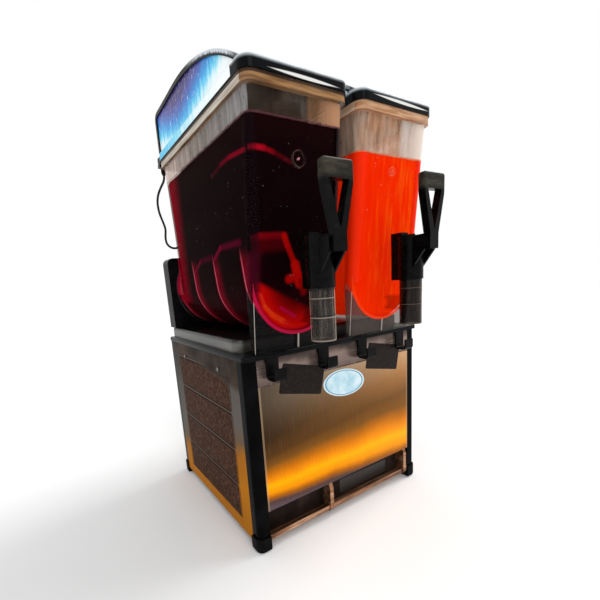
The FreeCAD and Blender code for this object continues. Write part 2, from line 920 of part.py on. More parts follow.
def makeDeck():
    """The stainless pan turned over the tray, under the bowls and the tower."""
    body = newBody("DeckPan")
    outer = rectangle((f"-{deckHalf}", deckHalf), ("deckFront", "towerBack"), "deckCorner")
    pad(body, "XY", outer, (trayTop, "deckTop"))
    roundEdges(body, "deckRounding", lambda edge: level(edge, "deckTop"))
    inner = rectangle((f"-{deckHalf} + sheetWall", f"{deckHalf} - sheetWall"),
                      ("deckFront + sheetWall", "towerBack - sheetWall"), "deckCorner - sheetWall")
    pocket(body, "XY", inner, (trayTop, "deckTop - deckRounding"))
    pocket(body, "XY", rectangle(
        (f"-{deckHalf} + deckRounding", f"{deckHalf} - deckRounding"),
        ("deckFront + deckRounding", "towerBack - deckRounding"), "deckCorner - deckRounding"),
        ("deckTop - deckRounding", "deckTop - sheetWall"))
    for side in (-1, 1):
        for offset in (-1, 1):
            bore(body, "Z", (f"{side} * bowlOffset + {offset} * riserOffset", "riserDepth"),
                 (trayTop, "deckTop"), "pipeRadius + pipeHoleGap")
    node(body, "deck_pan")


def makeHooks():
    """Four hooks under the tray for hanging drip trays."""
    hooks = []
    back, low = f"(-{halfDepth} - cardWall - hookGap)", "(cabinetTop - hookDrop)"
    bend, inner = "hookWall * 2", "hookWall"
    for side in (-1, 1):
        for offset in (-1, 1):
            body = newBody("Hook")
            middle = f"({side} * bowlOffset + {offset} * hookSpread)"
            pad(body, "YZ", [
                (back, "cabinetTop"), (f"{back} - hookWall", "cabinetTop"),
                (f"{back} - hookWall", f"{low} + {bend}", f"-({inner})"),
                (f"{back} - {bend}", f"{low} + hookWall"),
                (f"{back} - hookReach + {bend}", f"{low} + hookWall", f"-({inner})"),
                (f"{back} - hookReach + hookWall", f"{low} + {bend}"),
                (f"{back} - hookReach + hookWall", f"{low} + hookLip"),
                (f"{back} - hookReach", f"{low} + hookLip"),
                (f"{back} - hookReach", f"{low} + {bend}", bend),
                (f"{back} - hookReach + {bend}", low),
                (f"{back} - {bend}", low, bend),
                (back, f"{low} + {bend}"),
            ], (f"{middle} - hookWidth / 2", f"{middle} + hookWidth / 2"))
            hooks.append(body)
    node(group("TrayHooks", hooks), "tray_hooks")


def makeCards():
    """Two blank cards and a blank oval stuck to the front."""
    cards = []
    for place in ("leftCard", "rightCard"):
        x, z, tilt = place + "X", place + "Z", place + "Tilt"
        card = newBody("Card")
        pad(card, "XZ", rectangle(("-cardWidth / 2", "cardWidth / 2"),
                                  ("-cardHeight / 2", "cardHeight / 2"),
                                  "cardCorner"), ("-cardWall", "0"))
        cards.append((card, x, z, tilt))
    edge = doc.addObject("Part::Ellipse", "OvalEdge")
    edge.Placement = Placement(Vector(), PLANE_TURNS["XZ"])
    bind(edge, {"MajorRadius": "ovalWidth / 2", "MinorRadius": "ovalHeight / 2"})
    oval = doc.addObject("Part::Extrusion", "Oval")
    oval.Base = edge
    oval.DirMode = "Custom"
    oval.Dir = Vector(0, -1, 0)
    oval.Solid = True
    bind(oval, {"LengthFwd": "cardWall"})
    cards.append((oval, "ovalX", "ovalZ", "ovalTilt"))
    for card, x, z, tilt in cards:
        card.Placement = Placement(Vector(), Rotation(Vector(0, 1, 0), value(tilt)))
        bind(card, {
            "Placement.Base.x": x, "Placement.Base.y": f"-{halfDepth}", "Placement.Base.z": z,
            "Placement.Rotation.Angle": tilt,
        })
    node(group("BlankLabels", [card[0] for card in cards]), "blank_labels")


# Tower


def makeTower():
    """The black housing behind the bowls, open at the back and the bottom."""
    outer = prism("TowerOuter", "XZ", [
        (f"-{towerHalf}", "deckTop"), (towerHalf, "deckTop"),
        (towerHalf, "towerTop - towerCorner", "towerCorner"), (f"{towerHalf} - towerCorner", "towerTop"),
        (f"-{towerHalf} + towerCorner", "towerTop", "towerCorner"),
        (f"-{towerHalf}", "towerTop - towerCorner"),
    ], ("towerFront", "towerBack"))
    wall = "towerWall"
    inner = prism("TowerInner", "XZ", [
        (f"-{towerHalf} + {wall}", f"deckTop - {wall}"), (f"{towerHalf} - {wall}", f"deckTop - {wall}"),
        (f"{towerHalf} - {wall}", "towerTop - towerCorner", f"towerCorner - {wall}"),
        (f"{towerHalf} - towerCorner", f"towerTop - {wall}"),
        (f"-{towerHalf} + towerCorner", f"towerTop - {wall}", f"towerCorner - {wall}"),
        (f"-{towerHalf} + {wall}", "towerTop - towerCorner"),
    ], (f"towerFront + {wall}", f"towerBack + {wall}"))
    gland = rod("Gland", "Z", ("glandX", "glandDepth"), ("towerTop - towerWall", "towerTop + glandHeight"),
                "glandRadius")
    holes = []
    for side in (-1, 1):
        holes.append(rod("ShaftHole", "Y", (station(side), "axisHeight"),
                         ("towerFront", "towerFront + towerWall"), "shaftTubeRadius"))
        for offset in (-1, 1):
            holes.append(rod("PipeHole", "Y", (f"{station(side)} + {offset} * riserOffset", "axisHeight"),
                             ("towerFront", "towerFront + towerWall"), "pipeRadius + pipeHoleGap"))
    shell = cut("TowerShell", outer, [inner])
    node(cut("TowerHousing", fuse("TowerWithGland", [shell, gland]), holes), "tower_housing")


def rockerRoom(side, radius, half):
    """The round room that a rocker tilts in."""
    middle = f"({side} * switchOffset)"
    return rod("RockerRoom", "X", ("rockerAxisY", "switchHeight"),
               (f"{middle} - ({half})", f"{middle} + ({half})"), radius)


def makeBackCover():
    """The cover over the drives, with a raised bulge, vents and two switch housings."""
    plate = box("CoverPlate", (f"-{towerHalf} + coverMargin", f"{towerHalf} - coverMargin"),
                ("towerBack", "towerBack + coverWall"), ("deckTop + coverMargin", "towerTop - coverMargin"))
    bulge = rounded("BulgeOuter", box(
        "BulgeBlock", (f"-{bulgeHalf}", bulgeHalf), ("towerBack", "bulgeBack"), ("bulgeBottom", bulgeTop)),
        "coverMargin", lambda edge: abs(edge.BoundBox.YMin - value("bulgeBack")) < 1e-4)
    hollow = box("BulgeInner", (f"-{bulgeHalf} + bulgeWall", f"{bulgeHalf} - bulgeWall"),
                 ("towerBack", "bulgeBack - bulgeWall"),
                 ("bulgeBottom + bulgeWall", f"{bulgeTop} - bulgeWall"))
    shell = cut("CoverShell", fuse("CoverOuter", [plate, bulge]), [hollow])
    housings, rooms = [], []
    for side in (-1, 1):
        housings.append(rockerRoom(side, "rockerRadius + rockerGap + switchWall",
                                   "rockerHalf + rockerGap + switchWall"))
        rooms.append(rockerRoom(side, "rockerRadius + rockerGap", "rockerHalf + rockerGap"))
        rooms.append(rockerRoom(side, "rockerPinRadius + runningFit", "rockerPinHalf + runningFit"))
    front = box("HousingLimit", (f"-{bulgeHalf}", bulgeHalf), ("towerBack", "bulgeBack"),
                ("bulgeBottom", bulgeTop))
    cover = fuse("CoverWithHousings", [shell, common("HousingsInside", fuse("Housings", housings), front)])
    step = f"({bulgeTop} - bulgeBottom) / (bulgeVents + 4)"
    for index in range(int(sizes["bulgeVents"])):
        height = f"(bulgeBottom + ({index} + 2) * {step})"
        for side in (-1, 1):
            middle = f"{side} * {bulgeVentX}"
            rooms.append(box("Vent", (f"{middle} - bulgeVentLength / 2", f"{middle} + bulgeVentLength / 2"),
                             ("bulgeBack - bulgeWall * 2", "bulgeBack"), (height, f"{height} + ventWidth")))
    node(cut("TowerBackCover", cover, rooms), "tower_back_cover")


def makeSwitch(side, label):
    """A rocker with a shallow V front, tilting on a moulded pin."""
    disc = rod("RockerDisc", "X", ("0", "0"), ("-rockerHalf", "rockerHalf"), "rockerRadius")
    proud = "(bulgeBack - rockerAxisY + switchBezel)"
    drop = "(rockerRadius * tan(rockerTilt))"
    wedge = prism("RockerFace", "YZ", [
        ("-rockerRadius", "-rockerRadius"), (f"{proud} - {drop} * 2", "-rockerRadius"),
        (f"{proud} - {drop}", "0"), (proud, "rockerRadius"), ("-rockerRadius", "rockerRadius"),
    ], ("-rockerHalf", "rockerHalf"))
    pin = rod("RockerPin", "X", ("0", "0"), ("-rockerPinHalf", "rockerPinHalf"), "rockerPinRadius")
    rocker = fuse("Rocker", [common("RockerBlock", disc, wedge), pin])
    node(rocker, label, f"{side} * switchOffset", "rockerAxisY", "switchHeight")


def makeGearmotor(side, hand):
    """A flat gearbox on four stand-offs with its motor behind it."""
    half = "gearboxWidth / 2"
    low, high = "(axisHeight - gearboxHeight / 2)", "(axisHeight + gearboxHeight / 2)"
    block = box("GearBlock", (f"-{half}", half), ("gearboxFront", "gearboxBack"), (low, high))
    case = rounded("GearCase", block, "standoffRadius",
                   lambda edge: edge.BoundBox.YLength > value("(gearboxBack - gearboxFront) / 2"))
    motor = rounded("MotorCan", rod("MotorBlock", "Y", ("0", "axisHeight"), ("gearboxBack", "motorBack"),
                                    "motorRadius"),
                    "coverMargin", lambda edge: abs(edge.BoundBox.YMin - value("motorBack")) < 1e-4)
    pieces = [case, motor]
    for across in (-1, 1):
        for height in (f"{low} + standoffInset", f"{high} - standoffInset"):
            pieces.append(rod("Standoff", "Y", (f"{across} * ({half} - standoffInset)", height),
                              ("towerFront + towerWall", "gearboxFront"), "standoffRadius"))
    hole = rod("ShaftSocket", "Y", ("0", "axisHeight"), ("gearboxFront", "shaftBack + seatGap"),
               "shaftRadius + runningFit")
    node(cut("Gearmotor" + hand, fuse("GearmotorWhole", pieces), [hole]), "gearmotor_" + hand,
         station(side))


# Mixing drive


def makeEvaporator(side, hand):
    """The chilled drum: a closed shell with a tube through it for the shaft."""
    body = turned("Evaporator" + hand, [
        ("shaftRadius + runningFit", "drumFront"), ("drumRadius - drumNose", "drumFront", "drumNose"),
        ("drumRadius", "drumFront + drumNose"), ("drumRadius", "towerFront - flangeWall"),
        ("flangeRadius", "towerFront - flangeWall"), ("flangeRadius", "towerFront"),
        ("shaftRadius + runningFit", "towerFront"),
    ])
    sketch = bodySketch(body, "XZ", rectangle(
        ("shaftTubeRadius", "drumRadius - drumWall"),
        ("drumFront + drumNose", "towerFront - flangeWall")), "0")
    groove = body.newObject("PartDesign::Groove", "DrumHollow")
    groove.Profile = sketch
    groove.ReferenceAxis = (sketch, ["V_Axis"])
    groove.Angle = 360
    body.Placement = Placement(Vector(), AXIS_TURNS["Y"])
    node(body, "evaporator_" + hand, station(side), "0", "axisHeight")


def makeGasket(side, hand):
    """The flat ring that the bowl is pushed against."""
    body = turned("Gasket" + hand, [
        ("gasketInner", "towerFront - flangeWall"), ("bowlHalf", "towerFront - flangeWall"),
        ("bowlHalf", "towerFront"), ("gasketInner", "towerFront"),
    ])
    body.Placement = Placement(Vector(), AXIS_TURNS["Y"])
    node(body, "bowl_gasket_" + hand, station(side), "0", "axisHeight")


def makeShaft(side, hand):
    """The shaft from the gearbox through the drum to the mixing screw."""
    body = turned("DriveShaft" + hand, [
        ("0", "shaftFront"), ("shaftRadius - shaftChamfer", "shaftFront"),
        ("shaftRadius", "shaftFront + shaftChamfer"), ("shaftRadius", "shaftBack - shaftChamfer"),
        ("shaftRadius - shaftChamfer", "shaftBack"), ("0", "shaftBack"),
    ])
    body.Placement = Placement(Vector(), AXIS_TURNS["Y"])
    node(body, "drive_shaft_" + hand, station(side), "0", "axisHeight")


def makeAuger(side, hand):
    """The mixing screw: a right-handed ribbon on a hub with two arms and a front paddle."""
    spine = doc.addObject("Part::Helix", "AugerSpine")
    bind(spine, {"Pitch": "augerPitch", "Height": "augerBack - augerFront", "Radius": "augerOuter"})
    profile = doc.addObject("Sketcher::SketchObject", "AugerSection")
    profile.Placement = Placement(Vector(), PLANE_TURNS["XZ"])
    drawOutline(profile, rectangle(("augerInner", "augerOuter"), ("-augerWall / 2", "augerWall / 2")))
    ribbon = doc.addObject("Part::Sweep", "AugerRibbon")
    ribbon.Sections = [profile]
    ribbon.Spine = (spine, ["Edge1"])
    ribbon.Solid = True
    ribbon.Frenet = True
    low, high = "(-hubLength / 2)", "(hubLength / 2)"
    hub = rod("AugerHub", "Z", ("0", "0"), (low, high), "hubRadius")
    arms = box("AugerArms", ("-augerOuter + augerWall", "augerOuter - augerWall"),
               ("-armWidth / 2", "armWidth / 2"),
               ("-armHeight / 2", "armHeight / 2"))
    hole = rod("AugerBore", "Z", ("0", "0"), ("-hubLength", "hubLength"), "shaftRadius")
    rim = prism("AugerPaddle", "XY", [
        ("-augerOuter + augerWall", "-armWidth / 2"), ("-augerInner", "-armWidth / 2"),
        ("-augerInner", "paddleLength"), ("-augerOuter + augerWall * 2", "paddleLength"),
    ], ("-armHeight / 2", "armHeight / 2"))
    auger = cut("Auger" + hand, fuse("AugerWhole", [ribbon, hub, arms, rim]), [hole])
    turn = Rotation(Vector(0, 1, 0), value("-augerPhase"))
    auger.Placement = Placement(Vector(), turn.multiply(AXIS_TURNS["Y"]))
    node(auger, "auger_" + hand, station(side), "augerFront", "axisHeight")


# Bowls and drinks


def leaningBlock(name, heights, back, half, inset="0"):
    """A block with the bowl's leaning front, between two heights and up to a back line."""
    low, high = heights
    return prism(name, "YZ", [
        (frontAt(low, inset), low), (back, low), (back, high), (frontAt(high, inset), high),
    ], (f"-({half})", half))


def bowlBody(name, inset, low, high, end):
    """A bowl's form set in from the outside: a leaning box over a round trough and collar."""
    half = f"(bowlHalf - ({inset}))"
    slope = "((bowlBackHigh - bowlBackLow) / (rimBottom - axisHeight))"
    backLow = f"(bowlBackLow - ({inset}))"
    block = rounded(name + "Block", prism(name + "Side", "YZ", [
        (frontAt(low, inset), low), (backLow, low), (backLow, "axisHeight"),
        (f"{backLow} + ({high} - axisHeight) * {slope}", high), (frontAt(high, inset), high),
    ], (f"-{half}", half)), f"bowlCorner - ({inset})", lambda edge: upright(edge)
        and not (edge.CenterOfMass.y > 0 and edge.CenterOfMass.z < value("axisHeight")))
    trough = rod(name + "Trough", "Y", ("0", "axisHeight"), ("rimFront", "bowlBackLow"), half)
    upper = box(name + "Upper", (f"-{half}", half), ("rimFront", "rimBack"), ("axisHeight", high))
    form = common(name + "Form", block, fuse(name + "Section", [trough, upper]))
    collar = rod(name + "Collar", "Y", ("0", "axisHeight"), ("bowlBackLow - bowlCorner * 2", end), half)
    return block, fuse(name + "Body", [form, collar])


def makeBowl(side, hand):
    """A clear bowl: trough, leaning front with its skirt, rim, spout and tap tube."""
    skirtLow = f"({trayTop} + seatGap)"
    block, outer = bowlBody("Bowl", "0", skirtLow, "rimBottom", bowlEnd)
    strip = leaningBlock("SkirtStrip", (skirtLow, "axisHeight"), frontAt("axisHeight", "skirtDepth"),
                         "bowlHalf")
    skirt = common("BowlSkirt", block, strip)
    rim = prism("BowlRim", "XY", rectangle(("-rimHalf", "rimHalf"), ("rimFront", "rimBack"), "rimCorner"),
                ("rimBottom", "rimTop"))
    boss = ring("FrontRing", "Y", ("0", "bossHeight"), frontAt("bossHeight"), "bossRadius", "bossWire")
    boss.Placement = Placement(Vector(), Rotation(Vector(1, 0, 0), 90 + value("bowlLeanAngle")))
    bind(boss, {"Placement.Rotation.Angle": "90 + bowlLeanAngle", "Placement.Base.y": frontAt("bossHeight"),
                "Placement.Base.z": "bossHeight"})
    spout = rod("Spout", "Y", ("0", "spoutHeight"), ("tapDepth", frontAt("spoutHeight", "bowlWall")),
                "spoutRadius")
    whole = fuse("BowlWhole", [outer, skirt, rim, boss, spout])

    below = f"({skirtLow} - bowlWall)"
    innerBlock, cavity = bowlBody("BowlInner", "bowlWall", below, "rimTop + overrun",
                                  f"{bowlEnd} + overrun")
    room = leaningBlock("SkirtRoom", (below, "axisHeight"),
                        frontAt("axisHeight", "skirtDepth + overrun"), "bowlHalf")
    rib = leaningBlock("SkirtRib", (below, "axisHeight"), frontAt("axisHeight", "skirtDepth"), "ribHalf")
    kept = rod("TroughKept", "Y", ("0", "axisHeight"), ("rimFront", bowlEnd), "bowlHalf")
    skirtRoom = cut("SkirtHollow", common("SkirtInner", innerBlock, room), [rib, kept])
    spoutHole = rod("SpoutBore", "Y", ("0", "spoutHeight"),
                    ("tapDepth", frontAt("spoutHeight", "bowlWall + spoutOverrun")), "spoutBore")
    seatHole = rod("NozzleSeat", "Z", tapAxis,
                   ("spoutHeight - nozzleDrop", "spoutHeight + nozzleRise"), "nozzleRadius")
    node(cut("Bowl" + hand, whole, [cavity, skirtRoom, spoutHole, seatHole]), "bowl_" + hand,
         station(side))


def makeNozzle(side, hand):
    """The clear tube that the spout opens into and the piston slides in."""
    wall = rod("NozzleWall", "Z", tapAxis, ("-nozzleDrop", "nozzleRise"), "nozzleRadius")
    inlet = rod("NozzleInlet", "Y", ("0", "0"), ("tapDepth", "tapDepth + nozzleRadius"), "spoutBore")
    hole = rod("NozzleHole", "Z", tapAxis, ("-nozzleDrop", "nozzleRise"), "nozzleBore")
    node(cut("Nozzle" + hand, wall, [inlet, hole]), "nozzle_" + hand, station(side), "0", "spoutHeight")


def makeDrink(side, hand):
    """The slush that fills a bowl to its level, around the room that the screw sweeps."""
    inset = "bowlWall + drinkGap"
    low = "(axisHeight - bowlHalf)"
    filling = bowlBody("Filling", inset, low, hand + "Level", f"{bowlEnd} - drinkGap")[1]
    swept = rod("SweptRoom", "Y", ("0", "axisHeight"), ("drinkFront", "towerFront"),
                "augerOuter + sweepGap")
    node(cut("Drink" + hand, filling, [swept]), "drink_" + hand, station(side))


# Lids


def makeLidFrame(side, hand):
    """The lid's tray: it covers the rim, reaches into the bowl and carries the lamp socket."""
    body = newBody("LidFrame" + hand)
    pad(body, "XY", rectangle(("-lidHalf", "lidHalf"), ("lidFront", "lidBack"), "lidCorner"),
        ("rimTop", lidTop))
    roundEdges(body, "lidRounding", lambda edge: level(edge, lidTop))
    pad(body, "XY", rectangle(
        ("socketLeft", "socketRight"), ("lidBack - lidCorner", "socketBack"), "lidLipWall"),
        ("rimTop", f"{lidTop} - lidRounding"))
    pad(body, "XY", rectangle(("socketLeft", "socketRight"), ("lidBack", "socketBack")),
        ("rimTop - lidLipDrop", "rimTop"))
    lipHalf = "(bowlHalf - bowlWall - lidLipGap)"
    lipFront = frontAt("rimBottom", "bowlWall + lidLipGap")
    lipBack = "(bowlBackHigh - bowlWall - lidLipGap)"
    corner = "(bowlCorner - bowlWall)"
    pad(body, "XY", rectangle((f"-{lipHalf}", lipHalf), (lipFront, lipBack), corner),
        ("rimTop - lidLipDrop", "rimTop"))
    pocket(body, "XY", rectangle(
        (f"-{lipHalf} + lidLipWall", f"{lipHalf} - lidLipWall"),
        (f"{lipFront} + lidLipWall", f"{lipBack} - lidLipWall"), f"{corner} - lidLipWall"),
        ("rimTop - lidLipDrop", f"{lidTop} - lidPlate"))
    for place in ("lampFront + lampHolderInset", "lampBack - lampHolderInset"):
        pad(body, "XY", rectangle(
            ("-lampRadius / 2", "lampRadius / 2"),
            (f"{place} - lampHolderWidth / 2", f"{place} + lampHolderWidth / 2")),
            (lidTop, "lampHeight - lampRadius / 2"))
    bore(body, "Y", ("0", "lampHeight"), ("lampFront", "lampBack"), "lampRadius + runningFit")
    node(body, "lid_frame_" + hand, station(side))


def lidBlock(name, half):
    """The arched outline of the lid's cover, drawn out across its width."""
    return prism(name, "YZ", [
        ("archFrontY", lidTop), ("archBackY", lidTop),
        ("archBackY", "archBackZ - archBackRadius", "archBackRadius"),
        ("archBackY - archBackRadius", "archBackZ - archBackDip"),
        ("archCrestY", "archCrestZ", "archHighRadius"), ("archKneeY", "archKneeZ", "archLowRadius"),
    ], (f"-({half})", half))


def lidShell(name):
    """The arched cover alone: open below and at both sides."""
    block = lidBlock(name + "Block", "coverHalf")
    doc.recompute()
    limits = block.Shape.BoundBox
    opened = []
    for index, face in enumerate(block.Shape.Faces, 1):
        room = face.BoundBox
        sideways = room.XLength < 1e-4
        below = abs(room.ZMax - limits.ZMin) < 1e-4
        if sideways or below:
            opened.append(f"Face{index}")
    shell = doc.addObject("Part::Thickness", name)
    shell.Faces = (block, opened)
    shell.Join = 2
    return bind(shell, {"Value": "-archWall"})


def makeLidCover(side, hand):
    """The arched top of the lid."""
    node(lidShell("LidCover" + hand), "lid_cover_" + hand, station(side))


def makeLightPanels(side, hand):
    """Two translucent panels that fill the arch at the lid's sides."""
    panels = []
    outer, inner = "(coverHalf - lightPanelInset)", "(coverHalf - lightPanelInset - lightPanelWall)"
    for along, span in ((-1, (f"-{outer}", f"-{inner}")), (1, (inner, outer))):
        slab = box("PanelSlab", span, ("archFrontY", "archBackY"), (lidTop, "archBackZ"))
        filled = common("PanelFilled", lidBlock("PanelBlock", "coverHalf"), slab)
        panels.append(cut("LightPanel", filled, [lidShell("PanelTrim")]))
    node(group("LightPanels" + hand, panels), "light_panels_" + hand, station(side))


def makeLampTube(side, hand):
    """The lamp that lights the panels from inside the lid."""
    cap = "lampRadius"
    body = turned("LampTube" + hand, [
        ("0", "lampFront"), ("lampRadius / 2", "lampFront"), ("lampRadius / 2", f"lampFront + {cap}"),
        ("lampRadius", f"lampFront + {cap}"), ("lampRadius", f"lampBack - {cap}"),
        ("lampRadius / 2", f"lampBack - {cap}"), ("lampRadius / 2", "lampBack"), ("0", "lampBack"),
    ])
    body.Placement = Placement(Vector(), AXIS_TURNS["Y"])
    node(body, "lamp_tube_" + hand, station(side), "0", "lampHeight")


# Taps


def makeTapBody(side, hand):
    """The tap's housing with its bore, spring ledge, open chamber and two ears."""
    barrel = rod("TapBarrel", "Z", tapAxis, ("nozzleRise", "tapTop"), "tapRadius")
    column = box("TapColumn", ("-columnHalf", "columnHalf"), ("columnFront", "columnBack"),
                 ("nozzleRise", "columnTop"))
    pieces = [barrel, rounded("TapColumnRound", column, "lidLipWall", lambda edge: upright(edge)
                              and edge.CenterOfMass.y > value("columnFront"))]
    outline = [
        ("earFront", "earTop"), ("earFront", "earLow"), ("earRootFront", "earBottom"),
        ("earRootBack", "earBottom"), ("earRootBack", "earTop"),
    ]
    for span in (("-chamberHalf - earWall", "-chamberHalf"), ("chamberHalf", "chamberHalf + earWall")):
        pieces.append(prism("TapEar", "YZ", outline, span))
    tools = [
        rod("TapBoreTool", "Z", tapAxis, ("nozzleRise", "ledgeBottom"), "tapBore"),
        rod("StemHole", "Z", tapAxis, ("ledgeBottom", "ledgeTop"), "ledgeBore"),
        box("Chamber", ("-chamberHalf", "chamberHalf"), ("leverFront", "chamberBack"),
            ("ledgeTop", "columnTop + overrun")),
        rod("PinHole", "X", pivot, ("-tapRadius", "tapRadius"), "pinRadius + runningFit"),
    ]
    node(cut("TapBody" + hand, fuse("TapWhole", pieces), tools), "tap_body_" + hand, station(side),
         "0", "spoutHeight")


def makePin(side, hand):
    """The lever's hinge pin."""
    half = "(chamberHalf + earWall)"
    body = turned("PivotPin" + hand, [
        ("0", f"-{half}"), ("pinRadius - pinChamfer", f"-{half}"), ("pinRadius", f"-{half} + pinChamfer"),
        ("pinRadius", f"{half} - pinChamfer"), ("pinRadius - pinChamfer", half), ("0", half),
    ])
    body.Placement = Placement(Vector(), AXIS_TURNS["X"])
    node(body, "pivot_pin_" + hand, station(side), "pivotY", "spoutHeight + pivotZ")


def makeLever(side, hand):
    """The tap's pull handle: a loop grip over a stem with two tines that lift the piston."""
    body = newBody("TapLever" + hand)
    back = "(leverFront + leverWall)"
    half = [("leverStemHalf", "leverStemLow"), ("leverStemHalf", "leverNeck"), ("gripHalf", "gripLow"),
            ("gripHalf", "gripTop - gripCorner", "gripCorner"), ("gripHalf - gripCorner", "gripTop")]
    other = [("-gripHalf + gripCorner", "gripTop", "gripCorner"), ("-gripHalf", "gripTop - gripCorner"),
             ("-gripHalf", "gripLow"), ("-leverStemHalf", "leverNeck"), ("-leverStemHalf", "leverStemLow")]
    pad(body, "XZ", half + other, ("leverFront", back))
    pad(body, "XZ", rectangle(("-leverStemHalf", "leverStemHalf"), ("leverStemLow", "leverNeck")),
        (back, "leverStemBack"))
    roundEdges(body, "gripRounding", lambda edge: edge.CenterOfMass.z > value("gripLow - overrun")
               and edge.BoundBox.YLength < 1e-4)
    pocket(body, "XZ", [
        ("0", "windowApex"), ("windowHalf", "windowTop"), ("-windowHalf", "windowTop"),
    ], ("leverFront", back))
    noseY, noseZ = "tapDepth", "(pivotZ - noseDrop)"
    for low, high in (("-leverStemHalf", "-tineInner"), ("tineInner", "leverStemHalf")):
        pad(body, "YZ", [
            ("leverStemBack - noseRadius", f"{noseZ} - noseRadius"),
            (noseY, f"{noseZ} - noseRadius", "noseRadius"),
            (f"{noseY} + noseRadius", noseZ, "noseRadius"), (noseY, f"{noseZ} + noseRadius"),
            ("leverStemBack - noseRadius", f"{noseZ} + noseRadius"),
        ], (low, high))
    bore(body, "X", pivot, ("-gripHalf", "gripHalf"), "pinRadius + runningFit")
    node(body, "tap_lever_" + hand, station(side), "0", "spoutHeight")


def makePiston(side, hand):
    """The tap's piston: a plug with two sealing rings, a stem and the collar that the lever lifts."""
    deep = "(pistonRadius - grooveDepth)"
    collar = "(pivotZ - noseDrop + noseRadius + collarGap)"
    outline = [("0", "pistonBottom"), ("pistonRadius", "pistonBottom")]
    for middle in ("sealLow", "sealHigh"):
        outline += [
            ("pistonRadius", f"{middle} - grooveHalf"), (deep, f"{middle} - grooveHalf"),
            (deep, f"{middle} + grooveHalf"), ("pistonRadius", f"{middle} + grooveHalf"),
        ]
    outline += [
        ("pistonRadius", "pistonShoulder"), ("pistonStem", "pistonShoulder"), ("pistonStem", collar),
        ("collarRadius", collar), ("collarRadius", f"{collar} + collarHeight"),
        ("0", f"{collar} + collarHeight"),
    ]
    radius = "pistonRadius - sealWire"
    rings = [ring("Seal", "Z", ("0", "0"), middle, radius, "sealWire")
             for middle in ("sealLow", "sealHigh")]
    node(group("PistonSet" + hand, [turned("TapPiston" + hand, outline), *rings]), "tap_piston_" + hand,
         station(side), "tapDepth", "spoutHeight")


# Cooling set


def makeCompressor():
    """The compressor pot on its plate and four isolators, with two pipe stubs."""
    centre = ("compressorX", "compressorY")
    block = rod("PotBlock", "Z", centre, ("compressorBottom", "compressorTop"), "compressorRadius")
    pot = rounded("CompressorPot", block, "compressorRounding",
                  lambda edge: level(edge, "compressorTop") or level(edge, "compressorBottom"))
    plateHalf = "compressorPlateHalf"
    plate = box("CompressorPlate", (f"compressorX - {plateHalf}", f"compressorX + {plateHalf}"),
                (f"compressorY - {plateHalf}", f"compressorY + {plateHalf}"),
                ("compressorBottom", "compressorBottom + compressorPlate"))
    pieces = [pot, plate]
    for across in (-1, 1):
        for along in (-1, 1):
            place = (f"compressorX + {across} * ({plateHalf} - isolatorRadius)",
                     f"compressorY + {along} * ({plateHalf} - isolatorRadius)")
            pieces.append(rod("Isolator", "Z", place, (panTop, "compressorBottom"), "isolatorRadius"))
    for across in (-1, 1):
        pieces.append(rod("PotStub", "Z", (f"compressorX + {across} * stubSpread", "compressorY"),
                          ("compressorTop - compressorRounding", "compressorTop + stubLength"),
                          "stubRadius"))
    node(fuse("Compressor", pieces), "compressor")


def makeCondenser():
    """The condenser behind the left grille: fins on straight tubes between two end plates."""
    middle = f"(({condenserLeft} + {condenserRight}) / 2)"
    pieces = []
    for along in (-1, 1):
        low, high = ("-condenserHalf", "-condenserHalf + condenserPlate")
        span = (low, high) if along < 0 else (f"-({high})", f"-({low})")
        pieces.append(box("EndPlate", (condenserLeft, condenserRight), span, (panTop, "condenserTop")))
    for index in range(int(sizes["coilRows"])):
        height = f"coilLowest + {index} * coilPitch"
        pieces.append(rod("CoilTube", "Y", (middle, height), ("-condenserHalf", "condenserHalf"),
                          "coilRadius"))
    for index in range(int(sizes["finCount"])):
        place = f"(({index} - (finCount - 1) / 2) * finPitch)"
        pieces.append(box("Fin", (f"{condenserLeft} + finWall", f"{condenserRight} - finWall"),
                          (f"{place} - finWall / 2", f"{place} + finWall / 2"),
                          ("coilLowest - coilPitch / 2", "condenserTop - finWall")))
    node(fuse("Condenser", pieces), "condenser")


